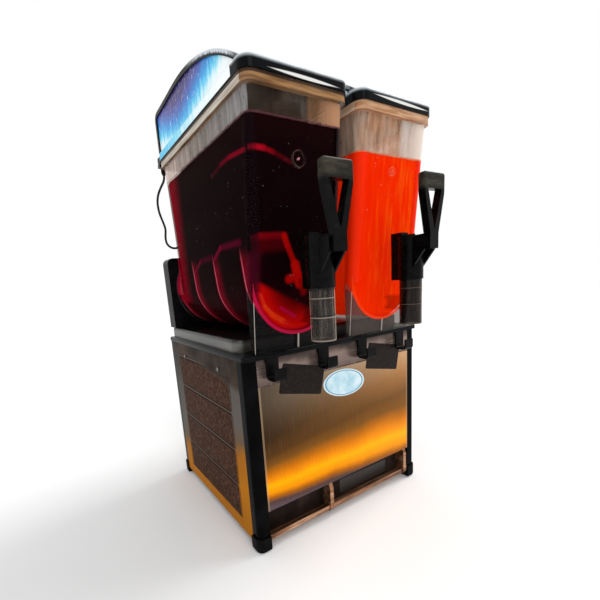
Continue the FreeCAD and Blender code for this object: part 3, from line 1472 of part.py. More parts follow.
def makeFan():
    """The condenser fan and its motor on a stand."""
    axis = ("0", "fanHeight")
    motor = rounded("FanMotorCan", rod("FanMotorBlock", "X", axis, (fanMotorLeft, fanMotorRight),
                                       "fanMotorRadius"),
                    "coverMargin", lambda edge: edge.BoundBox.XLength < 1e-4)
    stem = rod("FanSpindle", "X", axis, (fanFront, fanMotorLeft), "fanShaftRadius")
    low = f"({fanMotorRight} - fanStandHalf)"
    stand = box("FanStand", (f"{low}", f"{low} + fanStandWall"), ("-fanStandHalf", "fanStandHalf"),
                (panTop, "fanHeight"))
    foot = box("FanFoot", (low, f"{low} + fanStandHalf"), ("-fanStandHalf", "fanStandHalf"),
               (panTop, f"{panTop} + fanStandWall"))
    node(fuse("FanMotor", [motor, stem, stand, foot]), "fan_motor")

    body = newBody("FanBlade")
    pad(body, "YZ", rectangle(("-fanBladeWidth / 2", "fanBladeWidth / 2"), ("fanBladeRoot", "fanRadius"),
                              "fanBladeCorner"),
        ("-fanBladeWall / 2", "fanBladeWall / 2"))
    blade = body.Tip
    outline = blade.Profile[0]
    outline.AttachmentOffset = Placement(Vector(), Rotation(Vector(0, 1, 0), value("fanPitchAngle")))
    bind(outline, {"AttachmentOffset.Rotation.Angle": "fanPitchAngle"})
    spin = body.newObject("PartDesign::PolarPattern", "FanSpin")
    spin.Originals = [blade]
    axes = {item.Role: item for item in body.Origin.OriginFeatures}
    spin.Axis = (axes["X_Axis"], [""])
    spin.Angle = 360
    bind(spin, {"Occurrences": "fanBlades"})
    body.Tip = spin
    stud(body, "X", ("0", "0"), ("-fanDepth / 2", "fanDepth / 2"), "fanHub")
    bore(body, "X", ("0", "0"), ("-fanDepth / 2", "fanDepth / 2"), "fanShaftRadius + runningFit")
    node(body, "fan_blade", f"{fanFront} + fanDepth / 2", "0", "fanHeight")


def tube(name, points, radius, share=0.45, coiled=False):
    """A round tube along straight runs joined by arcs that touch both runs.

    In a coil every inner run is shared by two arcs, so the arcs meet with no straight between.
    """
    edges, radii, start = [], [], points[0]
    last = len(points) - 2
    for index, (before, corner, after) in enumerate(zip(points, points[1:], points[2:]), 1):
        arriving, leaving = before - corner, after - corner
        arrivingRun = arriving.Length * (2 if coiled and index == 1 else 1)
        leavingRun = leaving.Length * (2 if coiled and index == last else 1)
        setback = share * min(arrivingRun, leavingRun)
        arriving.normalize()
        leaving.normalize()
        turn = math.pi - arriving.getAngle(leaving)
        first, final = corner + arriving * setback, corner + leaving * setback
        inward = (arriving + leaving).normalize()
        bend = setback / math.tan(turn / 2)
        middle = corner + inward * (bend / math.cos(turn / 2) - bend)
        if start.distanceToPoint(first) > 1e-6:
            edges.append(Part.LineSegment(start, first).toShape())
        edges.append(Part.Arc(first, middle, final).toShape())
        radii.append(bend)
        start = final
    if start.distanceToPoint(points[-1]) > 1e-6:
        edges.append(Part.LineSegment(start, points[-1]).toShape())
    path = Part.Wire(edges)
    heading = (points[1] - points[0]).normalize()
    section = Part.Wire([Part.makeCircle(radius, points[0], heading)])
    solid = path.makePipeShell([section], True, False)
    expected = math.pi * radius ** 2 * path.Length
    print(f"{name}: length {path.Length:.1f}, bends", " ".join(f"{bend:.1f}" for bend in radii))
    print(f"{name}: volume {solid.Volume:.0f} of {expected:.0f}")
    return solid


def makeSpring(side, hand):
    """The return spring between the piston's shoulder and the ledge above it."""
    low = value("pistonShoulder + seatGap + springWire")
    high = value("ledgeBottom - seatGap - springWire")
    turns = value("springTurns")
    steps = int(turns * SPRING_SIDES)
    reach = value("springRadius") / math.cos(math.pi / SPRING_SIDES)
    corners = []
    for step in range(steps + 1):
        angle = 2 * math.pi * step / SPRING_SIDES
        corners.append(Vector(reach * math.cos(angle), reach * math.sin(angle),
                              low + (high - low) * step / steps))
    route = [(corners[0] + corners[1]) * 0.5] + corners[1:-1] + [(corners[-2] + corners[-1]) * 0.5]
    gap = min(first.distanceToPoint(later) for start, first in enumerate(corners)
              for later in corners[start + SPRING_SIDES // 2:]) - 2 * value("springWire")
    print(f"return spring {hand}: least gap {gap:.1f}")
    coil = doc.addObject("Part::Feature", "ReturnSpring" + hand)
    coil.Shape = tube(f"return spring {hand}", route, value("springWire"), 0.5, True)
    node(coil, "return_spring_" + hand, station(side), "tapDepth", "spoutHeight")


def spot(x, y, z):
    """A point from three formulas."""
    return Vector(value(x), value(y), value(z))


def makePipes():
    """Copper pipes between compressor, condenser and the two drums."""
    leftStub, rightStub = "compressorX - stubSpread", "compressorX + stubSpread"
    stubTop = "compressorTop + stubLength"
    coilX = f"({condenserLeft} + {condenserRight}) / 2"
    highCoil = "coilLowest + (coilRows - 1) * coilPitch"
    turnY = "condenserHalf + pipeTurn"

    def riser(side, offset, low):
        """From the back of a drum into the tower and down."""
        x = f"{station(side)} + {offset} * riserOffset"
        return [spot(x, "towerFront", "axisHeight"), spot(x, "riserDepth", "axisHeight"),
                spot(x, "riserDepth", low)]

    routes = [
        [
            spot(leftStub, "compressorY", stubTop), spot(leftStub, "compressorY", "pipeRun"),
            spot(leftStub, f"-({turnY})", "pipeRun"), spot(fanMotorLeft, f"-({turnY})", "pipeRun"),
            spot(coilX, f"-({turnY})", highCoil), spot(coilX, "-condenserHalf", highCoil),
        ],
        [spot(coilX, "condenserHalf", "coilLowest"), spot(coilX, turnY, "coilLowest")]
        + riser(-1, -1, "coilLowest + coilPitch * 2")[::-1],
        riser(-1, 1, "pipeRun") + riser(1, -1, "pipeRun")[::-1],
        riser(1, 1, "pipeRun") + [
            spot(rightStub, "condenserHalf", "pipeRun - coilPitch"),
            spot(rightStub, "compressorY", "pipeRun - coilPitch"), spot(rightStub, "compressorY", stubTop),
        ],
    ]
    pipes = []
    for index, route in enumerate(routes):
        pipe = doc.addObject("Part::Feature", "Pipe")
        pipe.Shape = tube(f"pipe {index + 1}", route, value("pipeRadius"))
        pipes.append(pipe)
    node(group("RefrigerantPipes", pipes), "refrigerant_pipes")


def makeLead():
    """The lamp lead that hangs behind the left lid, and its plug under the lid's socket."""
    plugX, plugTop = f"({station(-1)} + socketAxisX)", "(rimTop - lidLipDrop - seatGap)"
    plug = turned("LampPlug", [
        ("0", "-plugLength"), ("plugNeckRadius", "-plugLength"), ("plugRadius", "-plugShoulder"),
        ("plugRadius", "-plugChamfer"), ("plugRadius - plugChamfer", "0"), ("0", "0"),
    ])
    node(plug, "lamp_plug", plugX, "socketAxisY", plugTop)
    start = spot(plugX, "socketAxisY", f"{plugTop} - plugLength")
    end = spot("glandX", "glandDepth", "towerTop + glandHeight")
    route = [start] + [Vector(*place) for place in LEAD_ROUTE] + [end]
    lead = doc.addObject("Part::Feature", "LampLead")
    lead.Shape = tube("lamp lead", route, value("leadRadius"))
    node(lead, "lamp_lead")


makePostsAndFeet()
for side, hand in HANDS:
    makeSidePanel(side, hand)
makeFrontPanel()
makeFascia()
makeKickPlate()
makeBasePan()
makeRearPanel()
makeScrews()
makeMainsInlet()
makeTray()
makeDeck()
makeHooks()
makeCards()
makeTower()
makeBackCover()
makeSwitch(-1, "power_switch")
makeSwitch(1, "light_switch")
for side, hand in HANDS:
    makeGearmotor(side, hand)
    makeEvaporator(side, hand)
    makeGasket(side, hand)
    makeShaft(side, hand)
    makeAuger(side, hand)
    makeBowl(side, hand)
    makeNozzle(side, hand)
    makeDrink(side, hand)
    makeLidFrame(side, hand)
    makeLidCover(side, hand)
    makeLightPanels(side, hand)
    makeLampTube(side, hand)
    makeTapBody(side, hand)
    makePin(side, hand)
    makeLever(side, hand)
    makePiston(side, hand)
    makeSpring(side, hand)
makeCompressor()
makeCondenser()
makeFan()
makePipes()
makeLead()

doc.recompute()
failed = [thing.Name for thing in doc.Objects if {"Invalid", "Error"} & set(thing.State)]
for thing in nodes:
    shape = thing.Shape
    if shape.isNull() or not shape.isValid() or not shape.Solids:
        failed.append(thing.Label)
if failed:
    raise RuntimeError("these objects failed: " + ", ".join(failed))
for thing in nodes:
    thing.Shape.exportStep(f"parts/{thing.Label}.step")
print(len(nodes), "sub-parts written")
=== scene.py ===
import math
from functools import partial

import bpy
from mathutils import Matrix, Vector


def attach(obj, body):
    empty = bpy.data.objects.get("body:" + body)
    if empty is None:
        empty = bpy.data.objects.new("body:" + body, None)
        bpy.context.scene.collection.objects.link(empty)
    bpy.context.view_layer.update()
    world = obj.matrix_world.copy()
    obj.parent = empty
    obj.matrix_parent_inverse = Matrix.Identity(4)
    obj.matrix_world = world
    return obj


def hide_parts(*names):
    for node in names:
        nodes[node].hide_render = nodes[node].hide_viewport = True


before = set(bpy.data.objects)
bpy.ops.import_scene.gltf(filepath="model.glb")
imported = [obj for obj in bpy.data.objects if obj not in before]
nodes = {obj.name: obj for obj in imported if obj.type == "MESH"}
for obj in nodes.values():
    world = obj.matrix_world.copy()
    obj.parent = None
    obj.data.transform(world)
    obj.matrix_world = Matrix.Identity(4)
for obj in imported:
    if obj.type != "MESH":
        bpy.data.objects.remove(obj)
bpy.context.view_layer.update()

print("frame loaded:", len(nodes), "nodes")

# Places that several looks share, in metres in the machine's own frame.
machine = {
    "shift": 0.0425,  # the cabinet's middle stands this far back
    "bowlOffset": 0.0985,
    "axisHeight": 0.444,
    "rimBottom": 0.689,
    "levels": {"left": 0.658, "right": 0.634},
    "lean": 0.1051,  # slope of the bowls' leaning fronts
    "hands": (("left", -1), ("right", 1)),
}


# helpers


def linear(code):  # an sRGB hex value as linear light
    parts = [int(code[place:place + 2], 16) / 255 for place in (1, 3, 5)]
    return tuple(part / 12.92 if part <= 0.04045 else ((part + 0.055) / 1.055) ** 2.4 for part in parts) + (1,)


# the setting that a mode goes to, for the kinds of node that have one
modes = {"Math": "operation", "VectorMath": "operation", "MapRange": "interpolation_type", "MixRGB": "blend_type"}


def addNode(tree, kind, *sources, stops=(), **settings):
    # a kind may end in a mode, and a mode alone is a Math node's; sources fill the sockets in turn, or by their names
    kind, _, mode = ("Math " + kind if kind.isupper() else kind).partition(" ")
    node = tree.nodes.new("ShaderNode" + kind)
    if mode:
        settings[modes[kind]] = mode
    for name, setting in settings.items():
        setattr(node, name, setting)
    for number, (place, tone) in enumerate(stops):  # places and colours along a ramp
        ends = node.color_ramp.elements
        end = ends[number] if number < 2 else ends.new(place)
        end.position, end.color = place, linear(tone)
    named = sources and isinstance(sources[0], dict)
    for socket, source in (sources[0] if named else dict(enumerate(sources))).items():
        if isinstance(source, bpy.types.Node):
            source = source.outputs[0]
        if isinstance(source, bpy.types.NodeSocket):
            tree.links.new(source, node.inputs[socket])
        else:
            node.inputs[socket].default_value = linear(source) if isinstance(source, str) else source
    return node


def newMaterial(name):
    material = bpy.data.materials.new(name)
    material.use_nodes = True
    material.node_tree.nodes.clear()
    add = partial(addNode, material.node_tree)
    return material, add, add("TexCoord").outputs["Object"]


def closeMaterial(material, surface):
    addNode(material.node_tree, "OutputMaterial", surface)
    return material


def chain(add, kind, first, *rest):  # such as the product or the largest of several shares
    for part in rest:
        first = add(kind, first, part)
    return first


def perMetre(millimetres):  # noise scale whose blotches are this size
    return 1000 / millimetres


def stretchedNoise(add, place, sizes, detail, roughness=0.5, turn=(0, 0, 0)):
    # noise whose blotches have these sizes in millimetres along x, y and z
    spread = add("Mapping", place, (0, 0, 0), turn, [perMetre(size) for size in sizes])
    return add("TexNoise", {"Vector": spread, "Scale": 1, "Detail": detail, "Roughness": roughness})


def around(middle, half):
    return middle - half, middle + half


def paint(material, *names):
    for name in names:
        for slot in nodes[name].material_slots:
            slot.material = material


def both(stem):
    return [stem + "_left", stem + "_right"]


def strokeShare(add, flat, start, end, core, soft):
    # how much of a soft stroke covers a point: all within core, none past soft, with every length in millimetres
    reach = Vector(((end[0] - start[0]) / 1000, 0, (end[1] - start[1]) / 1000))
    fromStart = add("VectorMath SUBTRACT", flat, (start[0] / 1000, 0, start[1] / 1000))
    dot = add("VectorMath DOT_PRODUCT", fromStart, reach).outputs["Value"]
    along = add("VectorMath SCALE", {0: reach, "Scale": add("DIVIDE", dot, reach.length_squared, use_clamp=True)})
    aside = add("VectorMath DISTANCE", fromStart, along).outputs["Value"]
    return add("MapRange SMOOTHSTEP", aside, core / 1000, soft / 1000, 1, 0)


# camera

view = {
    "place": (-0.43355, -0.5984, 0.44515),
    "forward": (0.50764, 0.83895, -0.19615),
    "up": (0.16875, 0.12643, 0.97752),
    "lens": 21.257,
    "shift": (0.0535, 0.0885),
}


def makeCamera(look):
    camera = bpy.data.cameras.new("photoView")
    camera.lens = look["lens"]
    camera.sensor_width = 36
    camera.shift_x, camera.shift_y = look["shift"]
    camera.clip_start = 0.05
    viewer = bpy.data.objects.new("photoView", camera)
    back = -Vector(look["forward"]).normalized()
    right = Vector(look["up"]).cross(back).normalized()
    up = back.cross(right)
    viewer.matrix_world = Matrix.Translation(look["place"]) @ Matrix((right, up, back)).transposed().to_4x4()
    bpy.context.scene.collection.objects.link(viewer)
    bpy.context.scene.camera = viewer


makeCamera(view)
print("camera set")


# plain finishes: one look for each real material


def plainFinish(name, look):
    tones, roughness, grainMm, mottleMm, bumpStrength, rest = look
    material, add, place = newMaterial(name)
    stretched = add("Mapping", {"Vector": place, "Scale": rest.get("stretch", (1, 1, 1))})
    mottle = add("TexNoise", {"Vector": stretched, "Scale": perMetre(mottleMm), "Detail": 6, "Roughness": 0.6})
    grain = add("TexNoise", {"Vector": stretched, "Scale": perMetre(grainMm), "Detail": 3})
    tone = add("ValToRGB", mottle, stops=zip((0.3, 0.5, 0.72), tones))
    rough = add("MapRange", mottle, 0.3, 0.7, *roughness)
    bump = add("Bump", {"Height": grain, "Strength": bumpStrength, "Distance": grainMm / 4000})
    shader = add("BsdfPrincipled", {"Base Color": tone, "Roughness": rough, "Normal": bump,
                                    "Metallic": rest.get("metallic", 0), "IOR": rest.get("ior", 1.5)})
    return closeMaterial(material, shader)


# tones, roughness from and to, sizes of grain and mottle in millimetres, bump, and what else the look has
finishes = {
    # satin black ABS extrusion: deep black, with a bluish sheen along its rounded edges
    "blackPost": (("#030304", "#070708", "#0f1013"), (0.12, 0.26), 0.9, 45, 0.05, {"ior": 1.09}),
    # moulded rubber, matt and slightly dusty
    "footRubber": (("#060606", "#0b0b0c", "#151515"), (0.45, 0.7), 1.0, 12, 0.2, {"ior": 1.12}),
    # dark enamelled sheet, brown-black in the shade
    "kickEnamel": (("#15100d", "#251b17", "#40312a"), (0.3, 0.5), 1.4, 60, 0.15, {"ior": 1.12}),
    # bronze-coloured sheet, drawn lengthwise
    "bronzeSheet": (("#573c2b", "#a07152", "#e0b797"), (0.25, 0.45), 1.2, 8, 0.1,
                    {"metallic": 0.8, "stretch": (0.12, 1, 1)}),
    # high-gloss ABS tray, scuffed on its top: grey only where it is seen along its face
    "trayGloss": (("#040405", "#08090b", "#121316"), (0.08, 0.2), 1.5, 40, 0.03, {"ior": 1.15}),
    # satin black nylon
    "hookNylon": (("#050505", "#0a0a0a", "#141312"), (0.25, 0.42), 0.8, 14, 0.1, {"ior": 1.15}),
    # textured ABS of the tower and its cover
    "towerAbs": (("#070708", "#0c0c0e", "#151518"), (0.22, 0.38), 0.7, 50, 0.1, {"ior": 1.13}),
    # enamelled motor cans
    "motorEnamel": (("#4a4d52", "#5b5f64", "#6d7176"), (0.35, 0.5), 1.2, 30, 0.15, {}),
    "compressorEnamel": (("#0e0e10", "#151517", "#202024"), (0.25, 0.4), 1.6, 50, 0.15, {}),
    # plain aluminium fins
    "finAluminium": (("#8b8d90", "#a9abae", "#c6c8ca"), (0.3, 0.45), 0.9, 25, 0.15, {"metallic": 1.0}),
    "fanNylon": (("#1c1d20", "#27282b", "#333438"), (0.4, 0.55), 1.0, 30, 0.15, {}),
    # drawn copper pipe with darker oxide patches
    "pipeCopper": (("#6e3a22", "#b06a42", "#d8936a"), (0.22, 0.4), 1.0, 20, 0.1, {"metallic": 1.0}),
    "inletBakelite": (("#0b0b0b", "#131313", "#1b1b1b"), (0.3, 0.4), 0.8, 12, 0.15, {"ior": 1.3}),
    # rolled stainless drum and ground shaft
    "drumStainless": (("#8d8f92", "#abadb0", "#c9cbce"), (0.2, 0.32), 0.7, 35, 0.1,
                      {"metallic": 1.0, "stretch": (1, 0.1, 1)}),
    "shaftSteel": (("#9a9ca0", "#b5b7ba", "#d0d2d4"), (0.15, 0.28), 0.6, 10, 0.1, {"metallic": 1.0}),
    # food-grade acetal screw, stained by the drink
    "screwAcetal": (("#c9b8b0", "#e3d9d2", "#f1ebe6"), (0.25, 0.4), 1.0, 30, 0.1, {"ior": 1.48}),
    "gasketRubber": (("#141415", "#1d1d1f", "#2a2a2c"), (0.5, 0.7), 0.9, 15, 0.2, {}),
    "springWire": (("#8d8f92", "#b0b2b5", "#cfd1d3"), (0.2, 0.3), 0.5, 5, 0.1, {"metallic": 1.0}),
    # frosted lamp glass
    "lampGlass": (("#e6edf2", "#f0f5f8", "#fafcfd"), (0.3, 0.4), 1.0, 20, 0.05, {}),
    # soft black PVC of the lead
    "leadPvc": (("#08080a", "#111113", "#1c1c20"), (0.32, 0.5), 0.8, 8, 0.15, {"ior": 1.3}),
    # zinc-plated screw heads, greyed by handling
    "zincHeads": (("#4a4a4a", "#6d6d6b", "#929190"), (0.25, 0.4), 0.6, 5, 0.15, {"metallic": 1.0}),
    # dull grey film plate, scratched and speckled, with nothing on it
    "blankPlate": (("#0f0d0c", "#1c1917", "#3a3531"), (0.35, 0.6), 1.0, 2.2, 0.25, {"stretch": (0.6, 1, 1)}),
}
looks = {name: plainFinish(name, look) for name, look in finishes.items()}
print("plain finishes made:", len(looks))


# lamp lead: a soft flex that hangs behind the left lid, from the tower's gland to its plug

lampLead = {
    "diameter": 0.0046,
    "length": 0.2127,
    "gland": (-0.1355, 0.163, 0.516),
    "route": [
        (-0.1355, 0.163, 0.5255), (-0.140, 0.163, 0.5333), (-0.1478, 0.163, 0.5378),
        (-0.1568, 0.1625, 0.5381), (-0.1656, 0.1615, 0.5345), (-0.1751, 0.1605, 0.5352),
        (-0.1827, 0.1595, 0.540), (-0.1872, 0.1585, 0.5478), (-0.1872, 0.158, 0.560),
        (-0.1845, 0.1573, 0.574), (-0.189, 0.1565, 0.590), (-0.1945, 0.1555, 0.606),
        (-0.1965, 0.1545, 0.624), (-0.194, 0.1535, 0.641), (-0.186, 0.1518, 0.6575), (-0.1762, 0.1502, 0.6725),
    ],
    "plug": (-0.176, 0.150, 0.6817),
}


def makeLampLead(lead):
    points = [lead["gland"], *lead["route"], lead["plug"]]
    line = bpy.data.curves.new("lampLead", "CURVE")
    line.dimensions = "3D"
    spline = line.splines.new("NURBS")
    spline.points.add(len(points) - 1)
    for control, (x, y, z) in zip(spline.points, points):
        control.co = (x, y + machine["shift"], z, 1)
    spline.order_u = 3
    spline.use_endpoint_u = True
    spline.resolution_u = 8
    line.bevel_depth = lead["diameter"] / 2
    line.bevel_resolution = 5
    line.use_fill_caps = True
    line.materials.append(looks["leadPvc"])
    cord = bpy.data.objects.new("lampLead", line)
    bpy.context.scene.collection.objects.link(cord)
    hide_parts("lamp_lead")
    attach(cord, "cabinet")
    x, y, z = lead["gland"]


makeLampLead(lampLead)
print("lamp lead laid")


# nodes that take a plain finish

plainNodes = [
    ("blackPost", "corner_posts"),
    ("footRubber", "feet"),
    ("kickEnamel", "kick_plate"),
    ("bronzeSheet", "base_pan"),
    ("trayGloss", "top_tray", "power_switch", "light_switch"),
    ("hookNylon", "tray_hooks"),
    ("towerAbs", "tower_housing", "tower_back_cover"),
    ("motorEnamel", *both("gearmotor"), "fan_motor"),
    ("compressorEnamel", "compressor"),
    ("finAluminium", "condenser"),
    ("fanNylon", "fan_blade"),
    ("pipeCopper", "refrigerant_pipes"),
    ("inletBakelite", "mains_inlet"),
    ("drumStainless", *both("evaporator")),
    ("shaftSteel", *both("drive_shaft")),
    ("screwAcetal", *both("auger")),
    ("gasketRubber", *both("bowl_gasket")),
    ("springWire", *both("return_spring")),
    ("lampGlass", *both("lamp_tube")),
    ("hookNylon", "lamp_plug", *both("pivot_pin")),
]
for finish, *names in plainNodes:
    paint(looks[finish], *names)


# two finishes that change with height

heightFinishes = {
    # brushed stainless deck: its walls catch the light and its top only mirrors the dark bowls
    "deckStainless": {"from": 0.352, "to": 0.359, "low": ("#2f2e2c", "#4b4a47", "#6e6c68"),
                      "high": ("#0e0d0c", "#171514", "#282523"), "roughness": (0.22, 0.4), "grainMm": 0.8,
                      "mottleMm": 60, "bump": 0.01, "metallic": 0.85, "ior": 1.5, "stretch": (0.3, 0.3, 1)},
    # black acetal of the taps, with painted light on the grips: lighter and browner from their height up
    "tapAcetal": {"from": 0.563, "to": 0.571, "low": ("#030303", "#070707", "#101010"),
                  "high": ("#1b1a16", "#322f28", "#4c473d"), "roughness": (0.16, 0.36), "grainMm": 0.7,
                  "mottleMm": 11, "bump": 0.08, "metallic": 0.0, "ior": 1.15, "stretch": (0.3, 1, 1)},
}


def heightFinish(name, look):
    material, add, place = newMaterial(name)
    height = add("SeparateXYZ", place).outputs["Z"]
    stretched = add("Mapping", {"Vector": place, "Scale": look["stretch"]})
    mottle = add("TexNoise", {"Vector": stretched, "Scale": perMetre(look["mottleMm"]), "Detail": 6, "Roughness": 0.65})
    grain = add("TexNoise", {"Vector": stretched, "Scale": perMetre(look["grainMm"]), "Detail": 3})
    low, high = [add("ValToRGB", mottle, stops=zip((0.3, 0.5, 0.72), look[part])) for part in ("low", "high")]
    # the high tones take over above this height: painted light on the tap grips, and a painted dark reflection on the
    # deck's top over its lit walls
    climb = add("MapRange", height, look["from"], look["to"])
    tone = add("MixRGB", climb, low, high)
    rough = add("MapRange", mottle, 0.3, 0.7, *look["roughness"])
    bump = add("Bump", {"Height": grain, "Strength": look["bump"], "Distance": 0.0002})
    shader = add("BsdfPrincipled", {"Base Color": tone, "Roughness": rough, "Normal": bump,
                                    "Metallic": look["metallic"], "IOR": look["ior"]})
    return closeMaterial(material, shader)


paint(heightFinish("deckStainless", heightFinishes["deckStainless"]), "deck_pan")
paint(heightFinish("tapAcetal", heightFinishes["tapAcetal"]), *both("tap_body"), *both("tap_lever"),
      *both("tap_piston"))


# stainless front

frontSteel = {
    "bottom": 0.071,
    "top": 0.286,
    "bandMiddle": 0.235,  # the middle of the painted amber reflection band, as a share of the sheet's height
    "bandHalf": 0.185,
    "bandSpread": 0.28,  # the band's half height grows so much a metre to the right
    # painted reflections of an amber band in a dim room; places count band halves from the band's middle, from -2 at 0
    # to 6 at 1
    "paintedLightBands": [(0.0, "#3f3337"), (0.06, "#62525a"), (0.10, "#54423f"), (0.135, "#b0640c"), (0.17, "#ff9c00"),
              (0.225, "#ffb800"), (0.27, "#f79206"), (0.325, "#c36f0a"), (0.38, "#80521a"), (0.45, "#613f1c"),
              (0.56, "#6b4a2a"), (0.68, "#7d6248"), (0.80, "#937d66"), (1.0, "#a08b76")],
    "waver": 0.05,
    "shadeMm": 170,  # above the band, painted shade to the left and painted light to the right over this run
    "shade": (0.52, 1.72),
    "brushMm": (1.3, 26),  # width and run of one brush stroke, drawn wide enough to show
    "scratchMm": (2.0, 60),
    "scratch": "#b59c76",
    "cloudMm": 90,
    "edgeX": 0.1742,  # the folded edges catch the light from here out
    "edge": "#b79c7c",
    "roughness": (0.2, 0.34),
}


def steelFront(name, look):
    material, add, place = newMaterial(name)
    x, _, z = add("SeparateXYZ", place).outputs
    cloud = add("TexNoise", {"Vector": place, "Scale": perMetre(look["cloudMm"]), "Detail": 3})
    height = add("MapRange", z, look["bottom"], look["top"], -look["bandMiddle"], 1 - look["bandMiddle"], clamp=False)
    half = add("MULTIPLY_ADD", x, look["bandSpread"], look["bandHalf"])
    wavered = add("MULTIPLY_ADD", cloud, look["waver"] * 8, add("DIVIDE", height, half))
    scaled = add("MapRange", wavered, -2 + look["waver"] * 4, 6 + look["waver"] * 4)
    # painted reflection bands: the amber band and the dim room above and below it
    paintedLightBands = add("ValToRGB", scaled, stops=look["paintedLightBands"])
    (width, run), (fine, long) = look["brushMm"], look["scratchMm"]
    brush = stretchedNoise(add, place, (width, width, run), 5, 0.75)
    scratch = stretchedNoise(add, place, (fine, 1000, long), 3, turn=(0, 0.82, 0))
    scratched = add("MapRange", scratch, 0.62, 0.8, 0, 0.16)
    shade = add("MapRange", brush, 0.25, 0.75, 0.88, 1.1)
    # painted shade to the left and painted light to the right, above the band
    paintedSideShade = add("MapRange", x, -look["shadeMm"] / 1000, look["shadeMm"] / 1000, *look["shade"])
    upper = add("MapRange SMOOTHSTEP", scaled, 0.36, 0.6)
    change = add("SUBTRACT", add("MULTIPLY", paintedSideShade, paintedSideShade), 1.0)
    shaded = add("MULTIPLY", shade, add("MULTIPLY_ADD", change, upper, 1.0))
    streaked = add("MixRGB MULTIPLY", 1.0, paintedLightBands, shaded)
    rubbed = add("MixRGB", scratched, streaked, look["scratch"])
    edge = add("MapRange", add("ABSOLUTE", x), look["edgeX"], look["edgeX"] + 0.001, 0, 0.4)
    edged = add("MixRGB", edge, rubbed, look["edge"])
    rough = add("MapRange", brush, 0.3, 0.7, *look["roughness"])
    bump = add("Bump", {"Height": brush, "Strength": 0.08, "Distance": 0.0003})
    shader = add("BsdfPrincipled", {"Base Color": edged, "Roughness": rough, "Normal": bump, "Metallic": 0.95})
    return closeMaterial(material, shader)


paint(steelFront("brushedFrontSteel", frontSteel), "front_panel")

fasciaSteel = {
    "bottom": 0.286,
    "top": 0.330,
    # brushed sheet that mirrors a dim room and darkens under the tray's edge
    "paintedLightBands": [(0.0, "#3e322d"), (0.05, "#68564f"), (0.3, "#7d6a63"), (0.6, "#8a766e"), (0.8, "#5a4a44"),
              (1.0, "#241c18")],
    "blotchMm": 30,
    "brushMm": (70, 3),
    "roughness": (0.2, 0.36),
}


def steelFascia(name, look):
    material, add, place = newMaterial(name)
    x, _, z = add("SeparateXYZ", place).outputs
    climb = add("MapRange", z, look["bottom"], look["top"])
    cloud = add("TexNoise", {"Vector": place, "Scale": perMetre(look["blotchMm"]), "Detail": 4})
    level = add("SUBTRACT", add("MULTIPLY_ADD", cloud, 0.4, climb), 0.2)
    paintedLightBands = add("ValToRGB", level, stops=look["paintedLightBands"])
    run, width = look["brushMm"]
    brush = stretchedNoise(add, place, (run, width, width), 4, 0.7)
    shade = add("MapRange", brush, 0.25, 0.75, 0.95, 1.05)
    # painted shade to the left and painted light to the right
    paintedSideShade = add("MapRange", x, -0.2, 0.2, 0.8, 1.15)
    streaked = add("MixRGB MULTIPLY", 1.0, paintedLightBands, add("MULTIPLY", shade, paintedSideShade))
    rough = add("MapRange", brush, 0.3, 0.7, *look["roughness"])
    bump = add("Bump", {"Height": brush, "Strength": 0.08, "Distance": 0.0003})
    shader = add("BsdfPrincipled", {"Base Color": streaked, "Roughness": rough, "Normal": bump, "Metallic": 0.7})
    return closeMaterial(material, shader)


paint(steelFascia("brushedFasciaSteel", fasciaSteel), "front_fascia")


# slotted side sheets: steel under a dull bronze lacquer, whose dusty coat shows instead of bare metal

grille = {
    "slotHalf": 0.1262,  # the slotted field reaches this far from the middle
    "slotLow": 0.037,
    "slotHigh": 0.297,
    "rowPitch": 0.0673,
    "field": ("#2b1a13", "#4f372b", "#856150"),
    "line": "#a08676",  # the pale edge between two rows
    "lineSpan": (0.0618, 0.0625, 0.0635, 0.0642),  # it rises and falls between these heights of a row
    "gap": "#120b08",  # the dark strip that it lies in
    "gapSpan": (0.0572, 0.0578),
    "borderSpan": (0.014, 0.33),
    # an amber light climbs the border, higher at the front than at the rear
    "border": [(0.0, "#b26f16"), (0.2, "#bf7717"), (0.36, "#ad6c1c"), (0.44, "#705b45"), (0.55, "#66605a"),
               (0.85, "#5a5651"), (1.0, "#45403b")],
    "borderLean": 0.9,
    "topLean": 0.13,
    "top": ("#2a221d", "#4b3f36"),  # the strip above the slots, under the tray
}


